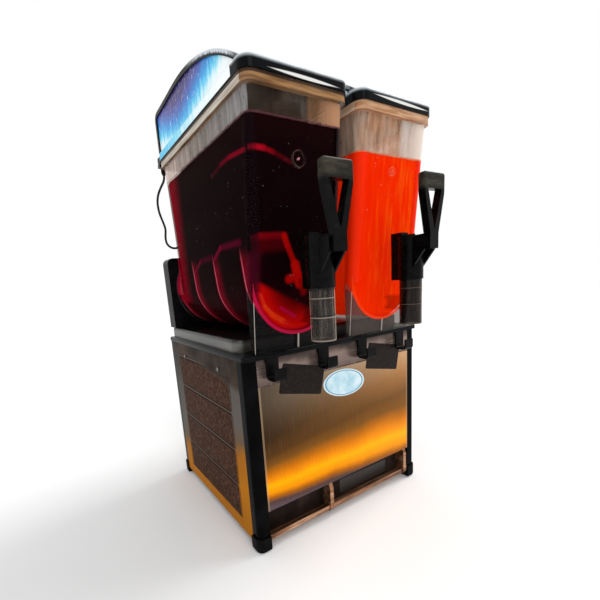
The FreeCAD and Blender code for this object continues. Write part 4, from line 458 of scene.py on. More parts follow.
def slottedSheet(name, look):
    material, add, place = newMaterial(name)
    _, y, z = add("SeparateXYZ", place).outputs
    dust = add("TexNoise", {"Vector": place, "Scale": perMetre(6), "Detail": 8, "Roughness": 0.75})
    field = add("ValToRGB", dust, stops=zip((0.3, 0.5, 0.72), look["field"]))
    aside = add("ABSOLUTE", add("SUBTRACT", y, machine["shift"]))
    edge = add("MapRange SMOOTHSTEP", aside, look["slotHalf"] - 0.009, look["slotHalf"] + 0.001)
    below = add("LESS_THAN", z, look["slotLow"])
    leaned = add("MULTIPLY_ADD", y, -look["topLean"], z)
    above = add("MapRange SMOOTHSTEP", leaned, look["slotHigh"] - 0.010, look["slotHigh"] + 0.006)
    framed = chain(add, "MAXIMUM", edge, below, above)
    climb = add("MapRange", z, *look["borderSpan"])
    haze = add("TexNoise", {"Vector": place, "Scale": perMetre(45), "Detail": 4})
    tilted = add("MULTIPLY_ADD", y, look["borderLean"], add("MULTIPLY_ADD", haze, 0.14, climb))
    border = add("ValToRGB", add("SUBTRACT", tilted, 0.08), stops=look["border"])
    rows = add("MODULO", add("SUBTRACT", z, look["slotLow"]), look["rowPitch"])
    between = add("MapRange SMOOTHSTEP", rows, *look["lineSpan"][:2], 0, 0.5)
    past = add("MapRange SMOOTHSTEP", rows, *look["lineSpan"][2:], 1, 0)
    thin = add("MULTIPLY", between, past)
    gap = add("MapRange", rows, *look["gapSpan"], 0, 0.82)
    dulled = add("MixRGB", gap, field, look["gap"])
    lined = add("MixRGB", thin, dulled, look["line"])
    topStrip = add("ValToRGB", haze, stops=zip((0.35, 0.7), look["top"]))
    border = add("MixRGB", above, border, topStrip)
    whole = add("MixRGB", framed, lined, border)
    rough = add("MapRange", dust, 0, 1, 0.25, 0.55)
    bump = add("Bump", {"Height": dust, "Strength": 0.15, "Distance": 0.0005})
    shader = add("BsdfPrincipled", {"Base Color": whole, "Roughness": rough, "Normal": bump, "IOR": 1.06})
    return closeMaterial(material, shader)


paint(slottedSheet("lacqueredSlottedSheet", grille), *both("side_panel"), "rear_panel")


# cards and oval

cards = {
    "ink": ("#120c0a", "#1a120f", "#261c17"),
    "fibreMm": 6,
    "washMm": 22,
    # the thin ring on the oval, at shares of its reach
    "ring": [(0.0, "#000000"), (0.86, "#000000"), (0.875, "#ffffff"), (0.915, "#ffffff"), (0.93, "#000000"),
             (1.0, "#000000")],
    "ovalX": 0.0015,
    "ovalZ": 0.2565,
    "ovalHalf": (0.050, 0.025),
    "ovalTilt": 7,
    "paper": ("#a9d3e4", "#c3e2ee", "#dcf0f6"),
    "edge": "#5c94b4",
    "margin": "#d5e8ee",
}


def cardStock(name, look):
    material, add, place = newMaterial(name)
    fibre = add("TexNoise", {"Vector": place, "Scale": perMetre(look["fibreMm"]), "Detail": 6})
    ink = add("ValToRGB", fibre, stops=zip((0.3, 0.5, 0.7), look["ink"]))
    centred = add("Mapping", place, (look["ovalX"], 0, look["ovalZ"]), (0, math.radians(look["ovalTilt"]), 0),
                  (look["ovalHalf"][0], 1, look["ovalHalf"][1]), vector_type="TEXTURE")
    reach = add("VectorMath LENGTH", add("VectorMath MULTIPLY", centred, (1, 0, 1))).outputs["Value"]
    wash = add("TexNoise", {"Vector": place, "Scale": perMetre(look["washMm"]), "Detail": 4})
    paper = add("ValToRGB", wash, stops=zip((0.35, 0.5, 0.65), look["paper"]))
    ring = add("ValToRGB", reach, stops=look["ring"])
    ringed = add("MixRGB", ring, paper, look["edge"])
    rimmed = add("MixRGB", add("GREATER_THAN", reach, 0.925), ringed, look["margin"])
    tone = add("MixRGB", add("LESS_THAN", reach, 1.02), ink, rimmed)
    shader = add("BsdfPrincipled", {"Base Color": tone, "Roughness": 0.45, "IOR": 1.2})
    return closeMaterial(material, shader)


paint(cardStock("blankCard", cards), "blank_labels")


# lids

lidGloss = {
    # polished black ABS: nearly black face on, white where it is seen along its face
    "tones": ("#050608", "#090b0e", "#14181d"),
    "roughness": (0.04, 0.12),
    "smearMm": 35,
    "highlightTone": "#f2f0ec",
    "skyReflectionTone": "#e3ebf2",
    # the painted highlight along the front flank: its ends from the bowl's middle, and its height at each
    "lens": {"left": (-0.058, 0.072, 0.7060, 0.7046), "right": (-0.066, 0.080, 0.7108, 0.7074)},
    "lensHalf": 0.0028,
    "frontY": -0.178,
    "skyReflectionFrom": 0.7118,  # the front's rounded top edge carries a painted sky reflection from here up
    # the arch's shoulder carries a painted sky reflection too: its two arcs (middle's depth and height, radius), parted
    # at a depth
    "arcs": ((0.0365, 0.450, 0.340), (0.0533, 0.3768, 0.415)),
    "arcsMeet": -0.0645,
    "shoulder": 0.0056,
    "crest": (-0.174, -0.140, -0.070, 0.005),
    "top": 0.719,
    "flank": {"at": 0.0868, "low": 0.7040, "front": -0.152, "back": 0.182},
    "frost": [(0.0, "#f6fcff"), (0.35, "#dff5fc"), (0.62, "#7fd6f0"), (1.0, "#3fb6e2")],
    "glow": 0.18,
}


def lidPlastic(name, look, hand, offset):
    material, add, place = newMaterial(name)
    centred = add("Mapping", place, (-offset, 0, 0))
    x, y, z = add("SeparateXYZ", centred).outputs
    smear = add("TexNoise", {"Vector": place, "Scale": perMetre(look["smearMm"]), "Detail": 5})
    tone = add("ValToRGB", smear, stops=zip((0.35, 0.55, 0.8), look["tones"]))
    rough = add("MapRange", smear, 0.3, 0.7, *look["roughness"])
    # a painted highlight: a long lens of light along the front flank
    start, end, startHeight, endHeight = look["lens"][hand]
    along = add("MapRange", x, start, end, -1, 1, clamp=False)
    fat = add("MULTIPLY_ADD", add("MULTIPLY", along, along), -look["lensHalf"], look["lensHalf"])
    middle = add("MapRange", x, start, end, startHeight, endHeight, clamp=False)
    away = add("ABSOLUTE", add("SUBTRACT", z, middle))
    inLens = add("MapRange SMOOTHSTEP", add("SUBTRACT", fat, away), 0, 0.0012, 0, 0.9)
    lensShare = add("MULTIPLY", inLens, add("LESS_THAN", y, look["frontY"]))
    lit = add("MixRGB", lensShare, tone, look["highlightTone"])
    # painted sky reflection on the arch's shoulder and the front's top edge, broken by streaks
    streak = stretchedNoise(add, place, (30, 4, 30), 4, 0.7)
    rise = add("MapRange SMOOTHSTEP", y, *look["crest"][:2])
    fall = add("MapRange SMOOTHSTEP", y, *look["crest"][2:], 1, 0)
    across = add("ABSOLUTE", x)
    profile = add("CombineXYZ", 0, y, z)
    depths = []
    for middleY, middleZ, radius in look["arcs"]:
        reach = add("VectorMath DISTANCE", profile, (0, middleY, middleZ))
        depths.append(add("SUBTRACT", radius, reach.outputs["Value"]))
    shoulder = add("MixRGB", add("LESS_THAN", y, look["arcsMeet"]), depths[1], depths[0])
    onShoulder = add("MapRange SMOOTHSTEP", shoulder, look["shoulder"] * 0.6, look["shoulder"], 1, 0)
    # dark streaks run into the painted sky reflection on the shoulder from below
    fading = add("MapRange", shoulder, 0, look["shoulder"], 0.2, -0.15)
    pale = add("MapRange", add("ADD", streak, fading), 0.35, 0.55, 0.1, 0.95)
    onCover = add("GREATER_THAN", z, look["top"] + 0.001)
    crestShare = chain(add, "MULTIPLY", rise, fall, onShoulder, pale, onCover)
    highFront = add("MapRange SMOOTHSTEP", z, look["skyReflectionFrom"], look["top"] - 0.001)
    underTop = add("SUBTRACT", 1.0, onCover)
    fore = add("LESS_THAN", y, look["flank"]["front"] - 0.003)
    frontSkyShare = add("MapRange", smear, 0.3, 0.6, 0.55, 0.95)
    frontSkyPart = chain(add, "MULTIPLY", highFront, underTop, fore, frontSkyShare)
    crested = add("MixRGB", add("MAXIMUM", crestShare, frontSkyPart), lit, look["skyReflectionTone"])
    # the frame's flanks carry the frost of the lit panels down to the rim
    flank = look["flank"]
    past = [add("GREATER_THAN", axis, limit)
            for axis, limit in ((across, flank["at"]), (z, flank["low"]), (y, flank["front"]))]
    short = [add("LESS_THAN", axis, limit) for axis, limit in ((z, look["top"] + 0.0005), (y, flank["back"]))]
    shareOfFlank = chain(add, "MULTIPLY", *past, *short)
    along = add("MapRange", y, flank["front"], flank["back"])
    icicle = stretchedNoise(add, place, (9, 8, 34), 5, 0.6)
    level = add("SUBTRACT", add("MULTIPLY_ADD", icicle, 0.9, along), 0.5)
    frost = add("ValToRGB", level, stops=look["frost"])
    surface = add("MixRGB", shareOfFlank, crested, frost)
    light = add("MixRGB", shareOfFlank, (0, 0, 0, 1), frost)
    shader = add("BsdfPrincipled", {"Base Color": surface, "Roughness": rough, "IOR": 1.15, "Emission Color": light,
                                    "Emission Strength": look["glow"]})
    return closeMaterial(material, shader)


for hand, side in machine["hands"]:
    gloss = lidPlastic("lidGlossBlack" + hand.capitalize(), lidGloss, hand, side * machine["bowlOffset"])
    paint(gloss, "lid_frame_" + hand, "lid_cover_" + hand)

lightPanel = {
    "low": 0.716,
    "high": 0.790,
    "frontY": -0.1635,
    "backY": 0.1805,
    "darkFrom": (-0.156, -0.151),  # the frame's dark end stands before the light
    "darkTone": "#4d555c",
    # ice at the foot, then cyan and blue up to violet dusk at the arch
    "sky": [(0.0, "#f6fcff"), (0.16, "#cdf2fb"), (0.30, "#62cdf0"), (0.48, "#2497dc"), (0.66, "#3468b8"),
            (0.84, "#434493"), (1.0, "#352a6a")],
    "glow": 0.18,
}


def frostPanel(name, look):
    material, add, place = newMaterial(name)
    _, y, z = add("SeparateXYZ", place).outputs
    climb = add("MapRange", z, look["low"], look["high"], clamp=False)
    along = add("MapRange", y, look["backY"], look["frontY"], clamp=False)
    # dusk hangs over the middle, and the ice climbs higher at both ends
    rearwards = add("MULTIPLY_ADD", along, 1.3, -0.42)
    ends = add("MINIMUM", rearwards, add("MULTIPLY_ADD", along, -0.95, 0.40))
    tilt = add("ADD", climb, add("MINIMUM", ends, 0.0))
    drips = add("Mapping", {"Vector": place, "Rotation": (0.35, 0, 0),
                            "Scale": (perMetre(9), perMetre(8), perMetre(34))})
    icicle = add("TexNoise", {"Vector": drips, "Scale": 1, "Detail": 5, "Roughness": 0.6})
    level = add("SUBTRACT", add("MULTIPLY_ADD", icicle, 0.5, tilt), -0.02)
    sky = add("ValToRGB", level, stops=look["sky"])
    flake = add("TexNoise", {"Vector": drips, "Scale": 2.3, "Detail": 3, "Roughness": 0.8})
    sparkle = add("MapRange", flake, 0.6, 0.7, 0, 0.7)
    sparkling = add("MixRGB", sparkle, sky, "#ffffff")
    lit = add("MapRange SMOOTHSTEP", y, *look["darkFrom"])
    frosted = add("MixRGB", lit, look["darkTone"], sparkling)
    shader = add("BsdfPrincipled", {"Base Color": frosted, "Roughness": 0.25, "IOR": 1.25, "Emission Color": frosted,
                                    "Emission Strength": look["glow"]})
    return closeMaterial(material, shader)


paint(frostPanel("litFrostPanel", lightPanel), *both("light_panels"))


# clear bowls and nozzles

bowlPlastic = {
    # a film of dried drink dulls the clear polycarbonate above the drink
    "film": {"left": ("#54453c", "#7d6b5d", "#c2b5a7"), "right": ("#c58e6a", "#e8b48e", "#fbe2d0")},
    "filmShare": {"left": 0.11, "right": 0.34},
    # painted light through the thick rim: tan on its front, paler on its side
    "rim": {"left": (("#7a5230", "#c08f5a"), ("#d6c6b2", "#fbf3e6")),
            "right": (("#a8744c", "#e3b58c"), ("#c8a684", "#f6e2cc"))},
    "rimShade": {"left": 0.6978, "right": 0.7006},  # the lid's lip darkens the rim from here up
    "rimDark": "#1d130d",
    "rimShare": 0.8,
    "clearTint": "#f1edea",
    "mirror": 0.05,
    "half": 0.0825,
    "wall": 0.0045,
    "footY": -0.10592,  # the front's depth where it would reach the floor
    # the thick walls bend the drink's colour out to their corners
    "corner": {"left": "#130710", "right": "#ff2d02"},
    "cornerSpan": 0.012,
    "cornerFade": {"left": 0.003, "right": 0.014},
    # front to rear along the side, and the warm light at the front's far end
    "sideFilm": {"left": ("#bdbcbe", "#b5aba2", "#ffe8dc"), "right": ("#d9bda6", "#d9bda6", "#f0dccb")},
    "farGlow": {"left": ("#dba57c", 0.6), "right": ("#fff2e6", 0.75)},
    "rearFace": (0.1545, 0.102),  # the rear wall's depth at the axis, and its slope
    "rearCorner": {"left": "#a00c2c", "right": "#ff3a04"},
    "levelLine": {"left": "#7d4a52", "right": "#ff9a68"},
    "troughEdge": {"left": "#b80a3c", "right": "#ff3c02"},
    # painted shade on the skirt under the bowl
    "skirt": {"left": "#151516", "right": "#5c5450"},
    "skirtShare": 0.5,
    "skirtLine": "#d9cfc6",
    "splashMm": 7,
    "splash": "#d4dbe2",
    "sideGain": {"left": 3.6, "right": 1.4},
    "nearCorner": {"left": 0.3, "right": 0.9},  # the near corner lets the drink show through, the far one doesn't
    "bossHeight": 0.611,
    "bossRadius": {"left": 0.0165, "right": 0.0095},
    "bossShare": {"left": 0.34, "right": 0.45},
    "boss": {"left": ("#8d3a52", "#ff9db4"), "right": ("#c23a08", "#e0500c")},
}


def clearPlastic(name, look, hand, offset):
    material, add, place = newMaterial(name)
    centred = add("Mapping", place, (-offset, 0, -look["bossHeight"]))
    localX, localY, localZ = add("SeparateXYZ", centred).outputs
    _, y, z = add("SeparateXYZ", place).outputs
    level = machine["levels"][hand]
    drips = stretchedNoise(add, place, (9, 9, 70), 4, 0.6)
    cloud = add("TexNoise", {"Vector": place, "Scale": perMetre(55), "Detail": 4})
    film = add("ValToRGB", cloud, stops=zip((0.3, 0.5, 0.72), look["film"][hand]))
    above = add("MapRange", z, *around(level, 0.0005), 0, look["filmShare"][hand])
    patchy = add("MapRange", drips, 0.35, 0.65, 0.6, 1.4)
    filmShare = add("MULTIPLY", above, patchy)
    inRim = add("MapRange", z, *around(machine["rimBottom"], 0.0005), 0, look["rimShare"])
    across = add("ABSOLUTE", localX)
    onSide = add("GREATER_THAN", across, look["half"] + 0.0045)
    rimStreak = stretchedNoise(add, place, (60, 60, 5), 4)
    # the rim's painted light, paler on the side
    frontRim, sideRim = [add("ValToRGB", rimStreak, stops=zip((0.38, 0.6), pair)) for pair in look["rim"][hand]]
    rimBody = add("MixRGB", onSide, frontRim, sideRim)
    rimShade = add("MapRange", z, *around(look["rimShade"][hand], 0.0006), 0, 0.92)
    rimColour = add("MixRGB", rimShade, rimBody, look["rimDark"])
    coatColour = add("MixRGB", inRim, film, rimColour)
    # fine dried splashes, spread by noise over the whole bowl; the real ones are thickest near the front corner
    drops = add("TexVoronoi", {"Vector": place, "Scale": perMetre(look["splashMm"]), "Randomness": 1.0}, feature="F1")
    dropSize = add("TexNoise", {"Vector": place, "Scale": perMetre(16), "Detail": 2})
    dropEdge = add("MapRange", dropSize, 0.5, 0.75, 0, 0.17)
    inDrop = add("LESS_THAN", drops, dropEdge)
    dropShare = add("MULTIPLY", inDrop, 0.28)
    # the moulded ring on the front, with a bright dot in its middle
    ahead = add("LESS_THAN", localY, -0.15)
    reach = add("VectorMath LENGTH", add("CombineXYZ", localX, 0, localZ)).outputs["Value"]
    ringGap = add("PINGPONG", reach, look["bossRadius"][hand] / 3)
    ringLine = add("MapRange", ringGap, 0.0002, 0.0007, look["bossShare"][hand], 0)
    ringShare = add("MULTIPLY", ringLine, add("LESS_THAN", reach, look["bossRadius"][hand] * 1.12))
    dot = add("MapRange", reach, 0.0008, 0.002, 0.9, 0)
    bossShare = add("MULTIPLY", add("MAXIMUM", ringShare, dot), ahead)
    bossColour = add("MixRGB", dot, *look["boss"][hand])
    withDrops = add("MixRGB", inDrop, coatColour, look["splash"])
    surfaceColour = add("MixRGB", bossShare, withDrops, bossColour)
    share = chain(add, "MAXIMUM", filmShare, inRim, dropShare, bossShare)
    # corners, the drink's line, the trough's edge, and painted shade on the skirt below it
    lean = add("MULTIPLY_ADD", z, machine["lean"], y)
    inset = add("SUBTRACT", lean, look["footY"])
    fromSide = add("SUBTRACT", look["half"], across)
    fromCorner = add("ADD", fromSide, inset)
    atFront = add("LESS_THAN", inset, look["wall"])
    atSide = add("LESS_THAN", fromSide, look["wall"])
    span, fade = look["cornerSpan"], look["cornerFade"][hand]
    atCorner = add("MapRange SMOOTHSTEP", fromCorner, span, span + fade, 1, 0)
    far = add("MapRange", localX, *around(0, 0.001), look["nearCorner"][hand], 1)
    rise = add("SUBTRACT", z, machine["axisHeight"])
    fromAxis = add("VectorMath LENGTH", add("CombineXYZ", across, 0, rise)).outputs["Value"]
    aboveAxis = add("GREATER_THAN", rise, -0.012)
    drinkHigh = add("MULTIPLY", aboveAxis, add("LESS_THAN", z, level))
    cornerShare = chain(add, "MULTIPLY", atCorner, drinkHigh, far)
    belowAxis = add("LESS_THAN", rise, 0.0)
    pastInner = add("GREATER_THAN", fromAxis, look["half"] - look["wall"])
    pastOuter = add("GREATER_THAN", fromAxis, look["half"] + 0.0006)
    edgeShare = chain(add, "MULTIPLY", add("SUBTRACT", pastInner, pastOuter), belowAxis, atFront)
    inSkirt = add("MULTIPLY", pastOuter, belowAxis)
    # a thin line of light down the middle of the rounded corner
    cornerAway = add("ABSOLUTE", add("SUBTRACT", fromSide, inset))
    onMiddle = add("LESS_THAN", cornerAway, 0.0008)
    atSkirtEdge = add("MULTIPLY", onMiddle, add("LESS_THAN", fromCorner, 0.0095))
    atRib = add("LESS_THAN", across, 0.0015)
    ribHere = add("MULTIPLY", atRib, add("LESS_THAN", inset, 0.0008))
    lineShare = chain(add, "MULTIPLY", add("MAXIMUM", atSkirtEdge, ribHere), inSkirt, 0.6)
    # painted shade on the skirt
    skirtShadeShare = add("MULTIPLY", inSkirt, look["skirtShare"])
    sideClear = add("LESS_THAN", inRim, 0.01)
    isAbove = add("GREATER_THAN", above, 0.01)
    sideFilm = chain(add, "MULTIPLY", atSide, above, sideClear)
    sideShare = chain(add, "MULTIPLY", sideFilm, patchy, look["sideGain"][hand])
    rearwards = add("MapRange", y, -0.18, 0.17)
    sideColour = add("ValToRGB", rearwards, stops=zip((0.0, 0.45, 1.0), look["sideFilm"][hand]))
    glowColour, glowFull = look["farGlow"][hand]
    farEnd = add("MapRange SMOOTHSTEP", localX, 0.01, 0.078, 0, glowFull)
    farShare = chain(add, "MULTIPLY", farEnd, atFront, isAbove, sideClear)
    # the rear corner takes the drink's colour too
    rearAt = add("MULTIPLY_ADD", rise, look["rearFace"][1], look["rearFace"][0] - 0.0065)
    rearShare = chain(add, "MULTIPLY", add("GREATER_THAN", y, rearAt), drinkHigh, 0.85)
    levelAway = add("ABSOLUTE", add("SUBTRACT", z, level + 0.0006))
    levelShare = add("MapRange", levelAway, 0.0004, 0.001, 0.5, 0)
    for part, colour in ((sideShare, sideColour), (farShare, glowColour), (rearShare, look["rearCorner"][hand]),
                         (skirtShadeShare, look["skirt"][hand]), (lineShare, look["skirtLine"]),
                         (cornerShare, look["corner"][hand]), (edgeShare, look["troughEdge"][hand]),
                         (levelShare, look["levelLine"][hand])):
        surfaceColour = add("MixRGB", add("GREATER_THAN", part, 0.01), surfaceColour, colour)
        share = add("MAXIMUM", share, add("MULTIPLY", part, 0.95))
    clear = add("BsdfTransparent", look["clearTint"])
    haze = add("BsdfPrincipled", {"Base Color": surfaceColour, "Roughness": 0.35, "IOR": 1.15})
    body = add("MixShader", share, clear, haze)
    mirror = add("BsdfGlossy", {"Color": (1, 1, 1, 1), "Roughness": 0.04})
    facing = add("LayerWeight", 0.5).outputs["Facing"]
    mirrorShare = chain(add, "MULTIPLY", add("POWER", facing, 4), look["mirror"], isAbove)
    shader = add("MixShader", mirrorShare, body, mirror)
    return closeMaterial(material, shader)


nozzlePlastic = {
    # the same clear plastic, smoked, with a painted highlight along its edges and the piston dim inside
    "tones": {"left": ("#1d1a18", "#4a4541", "#8f877e"), "right": ("#0b0807", "#1a1311", "#3a2c26")},
    "share": {"left": 0.42, "right": 0.72},
    "edge": {"left": "#f0dfc4", "right": "#7a5a48"},
    "edgeShare": {"left": 0.85, "right": 0.45},
    "pale": {"left": "#a39586", "right": "#5f493c"},
    "streakMm": (3, 60),
    # seats of the seals inside: heights and half widths, dark ones and pale ones
    "darkRings": ((0.3926, 0.0011), (0.4290, 0.0012)),
    "paleRings": ((0.4170, 0.0006), (0.3900, 0.0007), (0.3572, 0.0009)),
}


def smokedPlastic(name, look, hand):
    material, add, place = newMaterial(name)
    z = add("SeparateXYZ", place).outputs["Z"]
    width, run = look["streakMm"]
    streak = stretchedNoise(add, place, (width, width, run), 4, 0.6)
    tone = add("ValToRGB", streak, stops=zip((0.32, 0.52, 0.75), look["tones"][hand]))
    # painted highlight where the nozzle is seen edge on
    facing = add("LayerWeight", 0.5).outputs["Facing"]
    rim = add("MapRange SMOOTHSTEP", facing, 0.55, 0.9, 0, look["edgeShare"][hand])
    tone = add("MixRGB", rim, tone, look["edge"][hand])
    share = add("MAXIMUM", rim, look["share"][hand])
    for rings, colour in ((look["darkRings"], "#050505"), (look["paleRings"], look["pale"][hand])):
        for height, half in rings:
            away = add("ABSOLUTE", add("SUBTRACT", z, height))
            onRing = add("MapRange", away, half * 0.7, half * 1.3, 0.85, 0)
            tone = add("MixRGB", onRing, tone, colour)
            share = add("MAXIMUM", share, onRing)
    clear = add("BsdfTransparent", "#d9d5d2")
    haze = add("BsdfPrincipled", {"Base Color": tone, "Roughness": 0.22, "IOR": 1.3})
    shader = add("MixShader", share, clear, haze)
    return closeMaterial(material, shader)


for hand, side in machine["hands"]:
    name = hand.capitalize()
    paint(clearPlastic("clearPolycarbonate" + name, bowlPlastic, hand, side * machine["bowlOffset"]), "bowl_" + hand)
    paint(smokedPlastic("smokedPolycarbonate" + name, nozzlePlastic, hand), "nozzle_" + hand)


# drinks

darkDrink = {
    "deep": [(0.0, "#3a060f"), (0.25, "#1c050b"), (0.5, "#12050a"), (0.85, "#16070c"), (1.0, "#1e0a0e")],
    "line": "#ff7a9e",
    "glow": "#a3082c",
    "screwPhase": 118,
    "screwPitch": 0.101,
    "screwFront": -0.1105,
    "screwRadius": 0.0795,
    "lineHalf": 0.0013,
    "arcLine": "#ff6f92",
    "glowHalf": 0.020,
    # the lit trough seen through the front
    "trough": [(0.0, "#6c0406"), (0.3, "#a00808"), (0.5, "#c80a08"), (0.7, "#e60e0a"), (0.85, "#f0100c"),
               (0.94, "#d00a20"), (1.0, "#b00a3c")],
    "frontY": -0.0391,  # depth of the bowl's front at the axis, from the screw's front
    # strokes of painted glow and highlight: start, end, core and soft half widths in millimetres, colour, and how full
    "strokes": [
        ((-84, 61), (-64, 64), 1, 7, "#8c0a2c", 0.8),
        ((-64, 64), (-24, 65), 1, 8, "#b00a1c", 0.9),
        ((-70, 54), (-30, 56), 4, 18, "#5c0410", 0.75),
        ((-24, 65), (-19, 53), 2, 7, "#d81008", 0.95),
        ((-19, 53), (-4, 23), 2, 7, "#d01008", 0.9),
        ((-4, 23), (4, -4), 4, 11, "#f01408", 1.0),
        ((-16, 3), (4, 6), 2, 10, "#e40c08", 0.9),
        ((6, -2), (12, -18), 2, 9, "#a80808", 0.8),
        ((-67, -16), (-60, -34), 0.8, 4, "#ff3a1c", 0.8),
        ((-60, -34), (-47, -48), 1, 5, "#ff4a20", 0.9),
        ((-47, -48), (-26, -61), 2, 6, "#ff4418", 0.9),
        ((-26, -61), (-8, -70), 1, 4, "#f01c18", 0.8),
        ((-31, -39), (-5, -55), 1, 5, "#d01450", 0.75),
        ((-80, 175.5), (-56, 175.5), 0.8, 5.5, "#e01434", 0.85),
        ((-56, 175.5), (-41, 172), 0.5, 5, "#b00c24", 0.8),
        ((-41, 172), (-14, 163), 0.3, 5, "#6c0818", 0.7),
        ((-76, 40), (-79, -30), 3, 16, "#6c0830", 0.7),
    ],
    # painted glow strokes on the left side, across the machine's depth
    "sideStrokes": [
        ((-46, 174.5), (0, 179), 0.6, 5, "#b40c34", 0.75),
        ((0, 179), (29, 177.5), 0.5, 5, "#900a2c", 0.7),
        ((29, 177.5), (63, 170), 0.3, 5, "#5c0820", 0.6),
        ((-10, 61), (58, 61), 0.5, 8, "#74083a", 0.7),
        ((58, 61), (85, 46), 0.5, 6, "#9c1048", 0.7),
        ((95, 50), (150, 47), 0.5, 8, "#5c0830", 0.65),
        ((150, 47), (182, 30), 0.5, 6, "#8c1044", 0.7),
        ((-40, -30), (-38, 30), 3, 20, "#8c0838", 0.7),
    ],
    "rearEdge": (0.205, 0.270),
    "rearTone": "#b8082e",
}


def darkSlush(name, look, offset):
    material, add, place = newMaterial(name)
    centred = add("Mapping", place, (-offset, -look["screwFront"], -machine["axisHeight"]))
    x, y, z = add("SeparateXYZ", centred).outputs
    share = add("DIVIDE", add("ARCTAN2", z, x), 2 * math.pi)
    thread = add("MULTIPLY_ADD", y, 1 / look["screwPitch"], share)
    cycle = add("FRACT", add("ADD", thread, 10.5 - look["screwPhase"] / 360))
    offCentre = add("SUBTRACT", cycle, 0.5)
    gap = add("MULTIPLY", add("ABSOLUTE", offCentre), look["screwPitch"])
    # the glow lies on one side of each line
    ahead = add("MapRange SMOOTHSTEP", offCentre, -0.32, 0.0, 0, 0.75)
    behindGlow = add("MULTIPLY", ahead, add("LESS_THAN", offCentre, 0.0))
    flat = add("CombineXYZ", x, 0, z)
    radius = add("VectorMath LENGTH", flat).outputs["Value"]
    near = add("MapRange SMOOTHSTEP", radius, look["screwRadius"] + 0.001, look["screwRadius"] + 0.018, 1, 0)
    leaned = add("MULTIPLY_ADD", z, machine["lean"], y)
    behind = add("MapRange", leaned, look["frontY"] + 0.004, look["frontY"] + 0.010)
    seen = add("MULTIPLY", near, behind)
    line = add("MapRange SMOOTHSTEP", gap, look["lineHalf"] * 0.4, look["lineHalf"] * 1.6, 1, 0)
    halo = add("MapRange SMOOTHSTEP", gap, 0, look["glowHalf"] / 3, 0.6, 0)
    glow = add("MAXIMUM", behindGlow, halo)
    lineShare = add("MULTIPLY", line, seen)
    glowShare = add("MULTIPLY", glow, seen)
    climb = add("MapRange", z, -0.08, 0.21)
    deep = add("ValToRGB", climb, stops=look["deep"])
    glowing = add("MixRGB", glowShare, deep, look["glow"])
    tone = add("MixRGB", lineShare, glowing, look["line"])
    # the rear edge of the side glows crimson
    side = add("MapRange", x, -0.076, -0.072, 1, 0)
    rear = add("MapRange SMOOTHSTEP", y, *look["rearEdge"], 0, 0.75)
    tone = add("MixRGB", add("MULTIPLY", rear, side), tone, look["rearTone"])
    # the trough glows where light comes through its front
    front = add("MapRange", leaned, look["frontY"] + 0.0045, look["frontY"] + 0.0060, 1, 0)
    low = add("MapRange SMOOTHSTEP", add("MULTIPLY_ADD", x, 0.485, z), -0.038, -0.028, 1, 0)
    inside = add("MapRange", radius, *around(look["screwRadius"], 0.0005), 1, 0)
    fade = add("MapRange SMOOTHSTEP", x, 0.005, 0.035, 1, 0.3)
    troughShare = chain(add, "MULTIPLY", front, low, inside, fade)
    across = add("MapRange", radius, 0.030, look["screwRadius"])
    trough = add("ValToRGB", across, stops=look["trough"])
    tone = add("MixRGB", troughShare, tone, trough)
    # a painted highlight: a pink line follows the trough's edge
    arcGap = add("ABSOLUTE", add("SUBTRACT", radius, look["screwRadius"]))
    arcLine = add("MapRange SMOOTHSTEP", arcGap, 0.0006, 0.002, 0.9, 0)
    lowArc = add("MapRange", z, -0.004, 0.002, 1, 0)
    leftArc = add("MapRange", x, -0.02, 0.03, 1, 0)
    arcShare = chain(add, "MULTIPLY", arcLine, lowArc, leftArc, front)
    tone = add("MixRGB", arcShare, tone, look["arcLine"])
    sideFlat = add("CombineXYZ", y, 0, z)
    # strokes of painted glow and highlight on the front and the left side
    for plane, mask, strokes in ((flat, front, look["strokes"]), (sideFlat, side, look["sideStrokes"])):
        for start, end, core, soft, colour, full in strokes:
            covered = strokeShare(add, plane, start, end, core, soft)
            tone = add("MixRGB", chain(add, "MULTIPLY", covered, mask, full), tone, colour)
    ice = add("TexNoise", {"Vector": place, "Scale": perMetre(2.5), "Detail": 4})
    rough = add("MapRange", ice, 0, 1, 0.3, 0.5)
    shader = add("BsdfPrincipled", {"Base Color": tone, "Roughness": rough, "IOR": 1.05})
    return closeMaterial(material, shader)


brightDrink = {
    "tones": ("#fb2600", "#ff3200", "#ff5a0c"),
    "streakMm": (9, 130),
    "paintedGlow": 0.46,  # painted glow, standing in for the light the ice scatters from all sides, which brightens it from within
}


def brightSlush(name, look):
    material, add, place = newMaterial(name)
    width, run = look["streakMm"]
    streak = stretchedNoise(add, place, (width, width, run), 5, 0.6)
    x = add("SeparateXYZ", place).outputs["X"]
    drift = add("MapRange", x, 0.02, 0.18, -0.08, 0.08)
    tone = add("ValToRGB", add("ADD", streak, drift), stops=zip((0.3, 0.52, 0.75), look["tones"]))
    ice = add("TexNoise", {"Vector": place, "Scale": perMetre(2.5), "Detail": 4})
    rough = add("MapRange", ice, 0, 1, 0.3, 0.5)
    # painted glow: the drink gives off light in its own colour
    shader = add("BsdfPrincipled", {"Base Color": tone, "Roughness": rough, "IOR": 1.05, "Emission Color": tone,
                                    "Emission Strength": look["paintedGlow"]})
    return closeMaterial(material, shader)


paint(darkSlush("darkBerrySlush", darkDrink, -machine["bowlOffset"]), "drink_left")
paint(brightSlush("orangeSlush", brightDrink), "drink_right")
print("special finishes made")


# sheet screws: pan heads with a cross recess, in place of the plain ones

